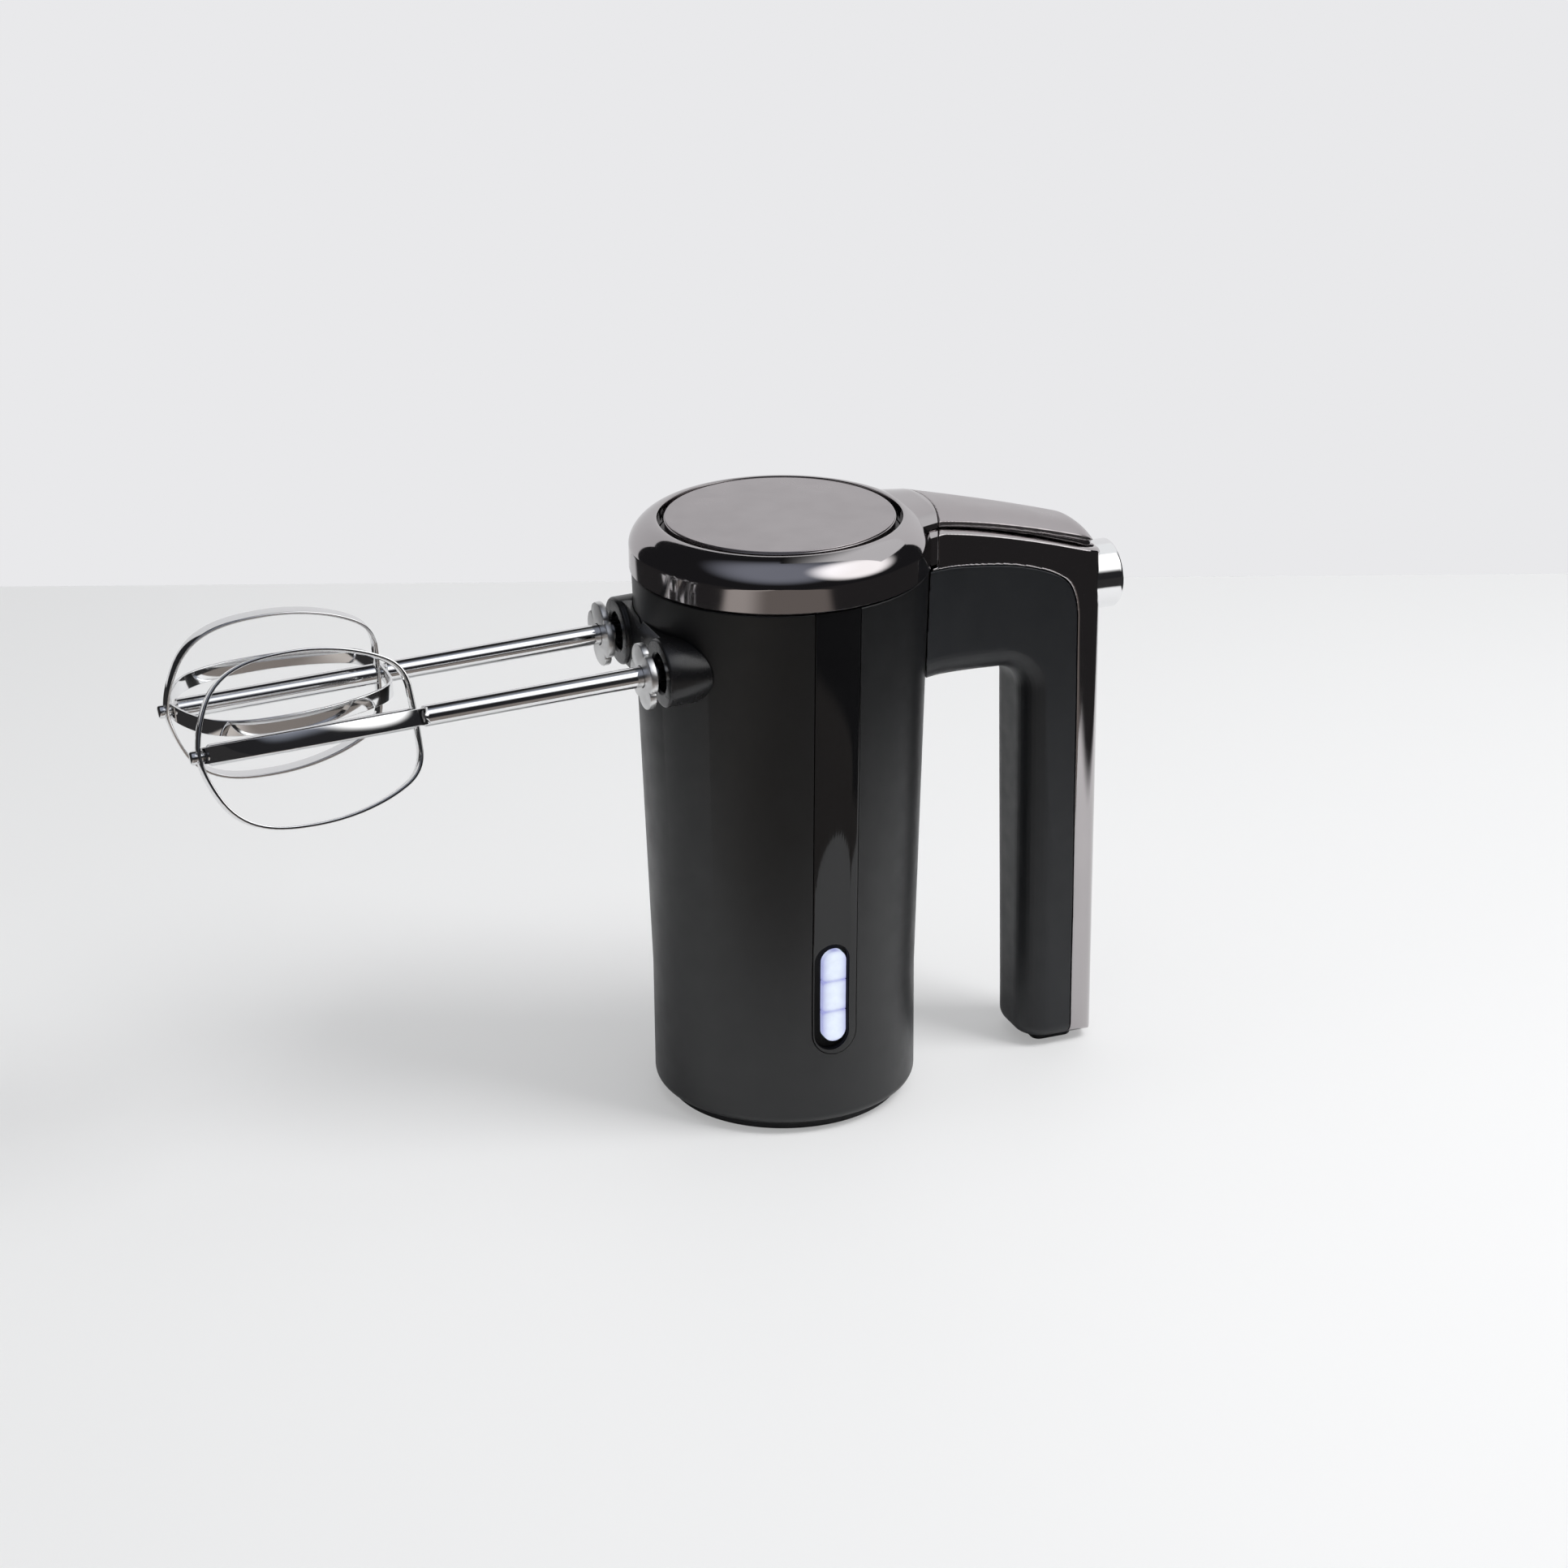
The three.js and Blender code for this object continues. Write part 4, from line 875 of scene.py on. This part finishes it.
def dial():
    edge, under_disc = 0.3, dial_top - 3.2
    profile = [(0, dial_top), (dial_radius - edge, dial_top),
               *arc(dial_radius - edge, dial_top - edge, edge, 90, 0, 8),
               (dial_radius, under_disc), (dial_hub, under_disc), (dial_hub, dial_low.z),
               (0, dial_low.z)]
    return smooth(turned("dial", profile, 360), 30)


def dial_trim():
    """A fine bright bead round the dial, below its edge."""
    bead = arc(dial_radius, dial_top - 0.8, 0.25, 0, 360, 16)
    return smooth(turned("dial_trim", bead[:-1] + bead[:1], 360))


def dial_groove():
    """The black floor of the groove round the dial."""
    low, floor, step = (seat_floor + rise for rise in (2 * gap, 2.2, 3.2))
    hub, inner, rim = dial_hub + gap, dial_radius + 0.5, lip_radius - gap
    profile = [(hub, low), (rim, low), (rim, step), (inner, step), (inner, floor), (hub, floor),
               (hub, low)]
    return smooth(turned("dial_groove", profile, 360), 30)


settled(ring(), "dark_chrome", "top_ring")
settled(dial(), "gunmetal", "speed_dial", body="dial")
settled(dial_trim(), "dark_chrome", body="dial")
settled(dial_groove(), "gloss_plastic", "dial_seat")


# -------- eject button
def eject_button():
    """A hollow cap with a rounded edge."""
    length, r, edge, wall, cap = button_high.x - button_low.x, button_radius, 1.5, 1.8, 3
    profile = [(r - wall, 0), (r, 0), *arc(r - edge, length - edge, edge, 0, 90, 12),
               (r * 0.5, length), (0, length), (0, length - cap), (r - wall, length - cap),
               (r - wall, 0)]
    button = turned("button", profile, 160)
    return smooth(aimed(button, (button_low.x, 0, button_z), (1, 0, 0)), 40)


def eject_spring():
    """The coil between the guide and the button."""
    wire, sides = 0.6, 12
    radius, steps, per_turn = (coil_high.z - coil_low.z) / 2 - wire, 240, 48
    sections = []
    for i in range(steps + 1):
        angle = 2 * pi * i / per_turn
        middle = coil_low.x + wire + (coil_high.x - coil_low.x - 2 * wire) * i / steps
        around = arc(middle, radius, wire, 90, -270, sides)[:-1]
        sections.append([(x, r * cos(angle), button_z + r * sin(angle)) for x, r in around])
    return smooth(lofted(sections, "eject_coil"), 50)


settled(eject_button(), "chrome", "eject_button", body="eject")
coil = settled(eject_spring(), "steel", "eject_spring")
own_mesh(coil)


# -------- sockets
def sockets():
    """The carrier in front of the body, with a bore for each beater."""
    edge = 0.9
    rim = [(0, -24), (boss_radius, -24), *arc(boss_radius - edge, -edge, edge, 0, 90, 6), (0, 0)]
    body, other = (along_spindle(turned("boss", rim, 128), side) for side in (1, -1))
    web = block((socket_face + 1.5, -half_spacing, socket_z - boss_radius + 1.2),
                (-20, half_spacing, socket_z + boss_radius - 0.2))
    rounded(cut(join(body, other, web), body_fill(gap)), 0.35, 2)
    for side in (1, -1):
        join(body, along_spindle(cylinder(8.6, -19, -2, 96), side))
    bore = [(0, -60), (6.3, -60), (6.3, -0.7), (7.0, 0), (7.0, 10), (0, 10)]
    for side in (1, -1):
        cut(body, along_spindle(turned("bore", bore, 96), side))
    return smooth(body, 35)


settled(sockets(), "body_plastic", "beater_boss", look="socket_plastic")

# -------- beaters
beater_reach = 149.2  # socket face to beater tip
beater_stem = 56.7  # what is inside the body
loop_start = 77.0  # socket face to the loops
loop_radius = 26.8
strip_thickness = 1.0
strip_width = 5.2
shaft_radius = 3.3
neck_radius = 1.5
peg_radius = 2.1
peg_length = 2.0
collar_radius = 10.5
collar_offset = 3.7
beater_phase = {"left": 0.0, "right": -22.5}


def bezier(p0, p1, p2, p3, steps):
    """A curve from p0 to p3, without p0 itself."""
    out = []
    for i in range(1, steps + 1):
        t = i / steps
        a, b, c, d = (1 - t) ** 3, 3 * t * (1 - t) ** 2, 3 * t * t * (1 - t), t ** 3
        out.append(tuple(a * w + b * x + c * y + d * z for w, x, y, z in zip(p0, p1, p2, p3)))
    return out


# half a loop, from the crimp to the tip: share of its length, share of its radius
loop_knots = [(0, 0), (0.001, 0.12), (0.002, 0.25), (0.004, 0.38), (0.01, 0.53), (0.036, 0.645),
              (0.086, 0.727), (0.173, 0.864), (0.331, 1), (0.519, 1), (0.706, 1), (0.872, 0.94),
              (0.95, 0.473), (0.977, 0.32), (0.997, 0.15), (1, 0)]


def loop_outline(start, end):
    """Half a loop: distance along the shaft and radius. It is curved from the fourth knot on."""
    knots = [(start + share * (end - start), rise * loop_radius) for share, rise in loop_knots]
    points = knots[:4]
    for i in range(3, len(knots) - 1, 3):
        points += bezier(*knots[i:i + 4], 16)
    return points


def strip_loop(name, start, end):
    """A flat strip bent into a loop: its corners are rounded, and it lies in local y and z."""
    half = loop_outline(start, end)
    path = half + [(z, -r) for z, r in half[-2:0:-1]]
    count = len(path)
    section = round_rectangle(0, strip_thickness, strip_width / 2, 0.28, 3)
    rings = []
    for i in range(count):
        before, here, after = path[i - 1], path[i], path[(i + 1) % count]
        run = Vector((after[0] - before[0], after[1] - before[1])).normalized()
        rings.append([(side, here[1] - run.x * depth, here[0] + run.y * depth)
                      for depth, side in section])
    return lofted(rings, name, closed=True)


def collar(name):
    """A flat disc of four petals, bored for the shaft."""
    petals = []
    for i in range(192):
        a = 2 * pi * i / 192
        r = collar_radius - 2.6 * (1 - abs(cos(2 * a)) ** 0.45)
        petals.append((r * cos(a), r * sin(a)))
    made = rounded(plan_slab(name, petals, collar_offset, collar_offset + 2.2), 0.45)
    return cut(made, cylinder(shaft_radius + gap, -50, 50, 64))


def beater(name, side):
    """Local z runs towards the tip, and local y starts as the machine's y."""
    across = Vector((0, 1, 0))
    up = across.cross(spindle_tip)
    turn = Matrix.Rotation(-radians(beater_phase[name]), 4, "Z")
    local = Matrix((up, across, spindle_tip)).transposed().to_4x4() @ turn
    local = Matrix.Translation(socket_centre(side) * MM) @ local
    loop_end = beater_reach - peg_length
    inset = strip_thickness + 2 * gap
    strips = inset + strip_thickness + gap
    start = -beater_stem / cos(beater_tilt)
    crimp, middle_low = loop_start - gap, loop_start + strips
    middle_high, tip = loop_end - strips - 2 * gap, loop_end + gap
    r, neck = shaft_radius, neck_radius
    shaft = turned(f"beater_{name}_rod", [
        (0, start), (r - 0.6, start), (r, start + 0.6), (r, crimp - 0.5), (r - 0.5, crimp),
        (neck, crimp), (neck, middle_low), (r - 0.4, middle_low), (r, middle_low + 0.4),
        (r, middle_high - 0.4), (r - 0.4, middle_high), (neck, middle_high), (neck, tip),
        (peg_radius, tip), *arc(peg_radius - 0.6, beater_reach - 0.6, 0.6, 0, 90, 5),
        (0, beater_reach)], 72)
    flat = strip_loop(f"beater_{name}_flat", loop_start, loop_end - inset)
    upright = strip_loop(f"beater_{name}_upright", loop_start + inset, loop_end)
    moved(upright, Matrix.Rotation(pi / 2, 4, "Z"))
    for loop in (flat, upright):
        cut(loop, cylinder(neck_radius + gap, -200, 200, 48))
    pieces = {"shaft": shaft, "collar": collar(f"beater_{name}_lobes"), "loop_flat": flat,
              "loop_upright": upright}
    for part, obj in pieces.items():
        smooth(moved(obj, local), 38)
        settled(obj, "chrome", f"beater_{name}_{part}", body=f"beater_{name}",
                look="satin" if part == "collar" else None)


beater("left", 1)
beater("right", -1)

# -------- nodes kept from the CAD model
slot_of = {entry["node"]: entry["material_slot"] for entry in frame["record"]["subparts"]}
for name, obj in frame["nodes"].items():
    obj.data.materials.clear()
    obj.data.materials.append(looks[slot_of[name]])

# -------- camera and stage, in metres
view_bearing = radians(21.254)
view_pitch = radians(22.609)
view_roll = radians(-0.475)
view_distance = 1.31571
view_offset = -0.000603
look_height = 0.105632
lens_mm, sensor_mm = 93.17, 36
away = Vector((sin(view_bearing), cos(view_bearing), 0))  # from the camera, level
along = Vector((away.y, -away.x, 0))  # to the right of the view
table_reach = 3.0
table_front, table_half = -0.165, 0.36  # the table's edges, as mirrors see them
wall_at, wall_half, wall_height = 0.49, 0.62, 0.6
softbox_height = 1.2
softbox_near, softbox_far, softbox_right = 0.12, 1.3, 1.4
camera_background = (0.815, 0.815, 0.83)  # the tone that the camera sees as the wall
studio_tone = (0.018, 0.018, 0.02)  # what else mirrors see
object_middle = Vector((0, 0, 0.1))


def across_view(right, forward, z):
    """A place given to the right of the view, away from the camera and up."""
    return along * right + away * forward + Vector((0, 0, z))


def camera():
    level = cos(view_pitch)
    back = Vector((-away.x * level, -away.y * level, sin(view_pitch)))
    right = (-back).cross(Vector((0, 0, 1))).normalized()
    up = right.cross(-back)
    right, up = (right * cos(view_roll) + up * sin(view_roll),
                 up * cos(view_roll) - right * sin(view_roll))
    data = given(bpy.data.cameras.new("camera"), lens=lens_mm, sensor_width=sensor_mm,
                 clip_start=0.01, clip_end=50)
    obj = put("camera", data)
    place = Matrix((right, up, back)).transposed().to_4x4()
    place.translation = Vector((0, 0, look_height)) + back * view_distance - right * view_offset
    obj.matrix_world = place
    scene.camera = obj


def shown_to(tree, kind):
    """1 for rays of this kind, such as "Is Camera Ray"."""
    return node(tree, "LightPath", {}).outputs[kind]


def maths(tree, operation, first, second):
    """A maths node. Each input is a socket or a number."""
    return node(tree, "Math", {0: first, 1: second}, operation=operation).outputs["Value"]


def along_axis(tree, axis, space="Object"):
    """How far a point lies along an axis: of a sheet in metres, or of the world's sphere."""
    place = node(tree, "TexCoord", {}).outputs[space]
    dot = node(tree, "VectorMath", {0: place, 1: axis}, operation="DOT_PRODUCT")
    return dot.outputs["Value"]


def faded(tree, value, start, end, top=1.0):
    """0 up to the start and the top value from the end on, with a smooth rise between them."""
    inputs = {"Value": value, "From Min": start, "From Max": end, "To Max": top}
    ramp = node(tree, "MapRange", inputs, interpolation_type="SMOOTHSTEP")
    return ramp.outputs["Result"]


def blended(tree, share, first, second):
    """The first shader where the share is 0 and the second where it is 1."""
    return node(tree, "MixShader", {"Fac": share, 1: first, 2: second}).outputs["Shader"]


def glowing(tree, colour, strength=1.0):
    inputs = {"Color": (*colour, 1), "Strength": strength}
    return node(tree, "Emission", inputs).outputs["Emission"]


def surfaced(material, socket):
    feed(material.node_tree.nodes["Material Output"], {"Surface": socket})
    return material


def table_white():
    """Pale matte top, a third of it as a plain tone to the camera.

    Mirrors see it end near the object: it is brown in front and black at the sides.
    """
    material, tree, shader = new_material("table_white")
    tone = spread(tree, noise(tree, 3.0), 0, 1)
    feed(shader, {"Base Color": two_tones(tree, tone, (0.87, 0.87, 0.875), (0.885, 0.885, 0.89)),
                  "Roughness": 0.6})
    plain = maths(tree, "MULTIPLY", shown_to(tree, "Is Camera Ray"), 0.35)
    top = blended(tree, plain, shader.outputs["BSDF"], glowing(tree, (0.91, 0.91, 0.91)))
    right = along_axis(tree, along)
    left = maths(tree, "MULTIPLY", right, -1)
    front = maths(tree, "LESS_THAN", along_axis(tree, away), table_front)
    side = maths(tree, "MAXIMUM", faded(tree, left, table_half - 0.02, table_half + 0.03),
                 faded(tree, right, 0.3, 0.36))
    brown = blended(tree, faded(tree, left, 0.08, 0.26), glowing(tree, (0.23, 0.205, 0.19)),
                    glowing(tree, (0.56, 0.52, 0.49)))
    mirrored = shown_to(tree, "Is Glossy Ray")
    top = blended(tree, maths(tree, "MULTIPLY", front, mirrored), top, brown)
    top = blended(tree, maths(tree, "MULTIPLY", side, mirrored), top,
                  glowing(tree, (0.03, 0.029, 0.03)))
    return surfaced(material, top)


def wall_grey():
    """The wall that mirrors see, lighter towards the right."""
    material, tree, _ = new_material("wall_grey")
    right = faded(tree, along_axis(tree, along), -0.35, 0.35)
    return surfaced(material, blended(tree, right, glowing(tree, (0.7, 0.7, 0.715)),
                                      glowing(tree, (0.86, 0.86, 0.875))))


def softbox_white():
    """The softbox that mirrors see overhead on the right, fading out towards the left."""
    material, tree, _ = new_material("softbox_white")
    strength = faded(tree, along_axis(tree, along), -0.02, 0.42, 0.95)
    return surfaced(material, glowing(tree, (0.97, 0.985, 1.0), strength))


def sheet(name, material, right, forward, up):
    """A flat rectangle of the stage, from the first to the second number of each pair."""
    mesh = bpy.data.meshes.new(name)
    corners = [across_view(right[i], forward[j], up[j])
               for i, j in ((0, 0), (1, 0), (1, 1), (0, 1))]
    mesh.from_pydata(corners, [], [(0, 1, 2, 3)])
    obj = put(name, mesh)
    obj.data.materials.append(material)
    return obj


def stage():
    """A table, and what only mirrors need: a wall and a softbox. The camera sees the world."""
    sheet("table", table_white(), (-table_reach, table_reach), (wall_at, -table_reach), (0, 0))
    wall = sheet("wall", wall_grey(), (wall_half, -wall_half), (wall_at, wall_at),
                 (0, wall_height))
    overhead = sheet("softbox_overhead", softbox_white(), (0, softbox_right),
                     (softbox_near, softbox_far), (softbox_height,) * 2)
    for shown in (wall, overhead):
        shown.visible_camera = shown.visible_diffuse = shown.visible_shadow = False


def lamp(name, place, size, power):
    """A soft light on the object. Mirrors don't show it: they show the world's windows."""
    data = given(bpy.data.lights.new(name, "AREA"), shape="RECTANGLE", size=size[0],
                 size_y=size[1], energy=power)
    aim = (object_middle - place).to_track_quat("-Z", "Y").to_euler()
    given(put(name, data), location=place, rotation_euler=aim, visible_glossy=False)


def window(tree, place, narrow, wide_angle, strength, colour):
    """A soft bright patch in the world: full inside the narrow angle and gone at the wide one."""
    near = along_axis(tree, across_view(*place).normalized(), "Generated")
    bright = faded(tree, near, cos(radians(wide_angle)), cos(radians(narrow)), strength)
    tint = node(tree, "VectorMath", {0: colour, "Scale": bright}, operation="SCALE")
    return tint.outputs["Vector"]


def world():
    """An even fill for matte surfaces, dark with soft windows for mirrors, plain for the camera."""
    made = bpy.data.worlds.new("world")
    scene.world = made
    made.use_nodes = True
    tree = made.node_tree
    even = tree.nodes["Background"]
    feed(even, {"Color": (0.96, 0.98, 1.0, 1), "Strength": 0.3})
    lit = window(tree, (0.72, -0.22, 0.68), 16, 34, 2.0, (1, 1, 1))
    overhead = window(tree, (0.0, -0.4, 0.88), 14, 48, 0.34, (0.85, 0.92, 1.1))
    for more in (overhead, studio_tone):
        lit = node(tree, "VectorMath", {0: lit, 1: more}, operation="ADD").outputs["Vector"]
    studio = node(tree, "Background", {"Color": lit})
    behind = node(tree, "Background", {"Color": (*camera_background, 1)})
    mixed = blended(tree, shown_to(tree, "Is Glossy Ray"), even.outputs["Background"],
                    studio.outputs["Background"])
    mixed = blended(tree, shown_to(tree, "Is Camera Ray"), mixed, behind.outputs["Background"])
    feed(tree.nodes["World Output"], {"Surface": mixed})


camera()
stage()
world()
lamp("key", across_view(0.83, -0.22, 1.2), (0.55, 0.55), 14)
lamp("top", across_view(0.1, -0.1, 1.6), (1.4, 1.2), 5)
lamp("fill", across_view(-1.3, -0.5, 0.9), (0.8, 0.8), 2)

scene.view_settings.view_transform = "Standard"

bpy.context.view_layer.update()
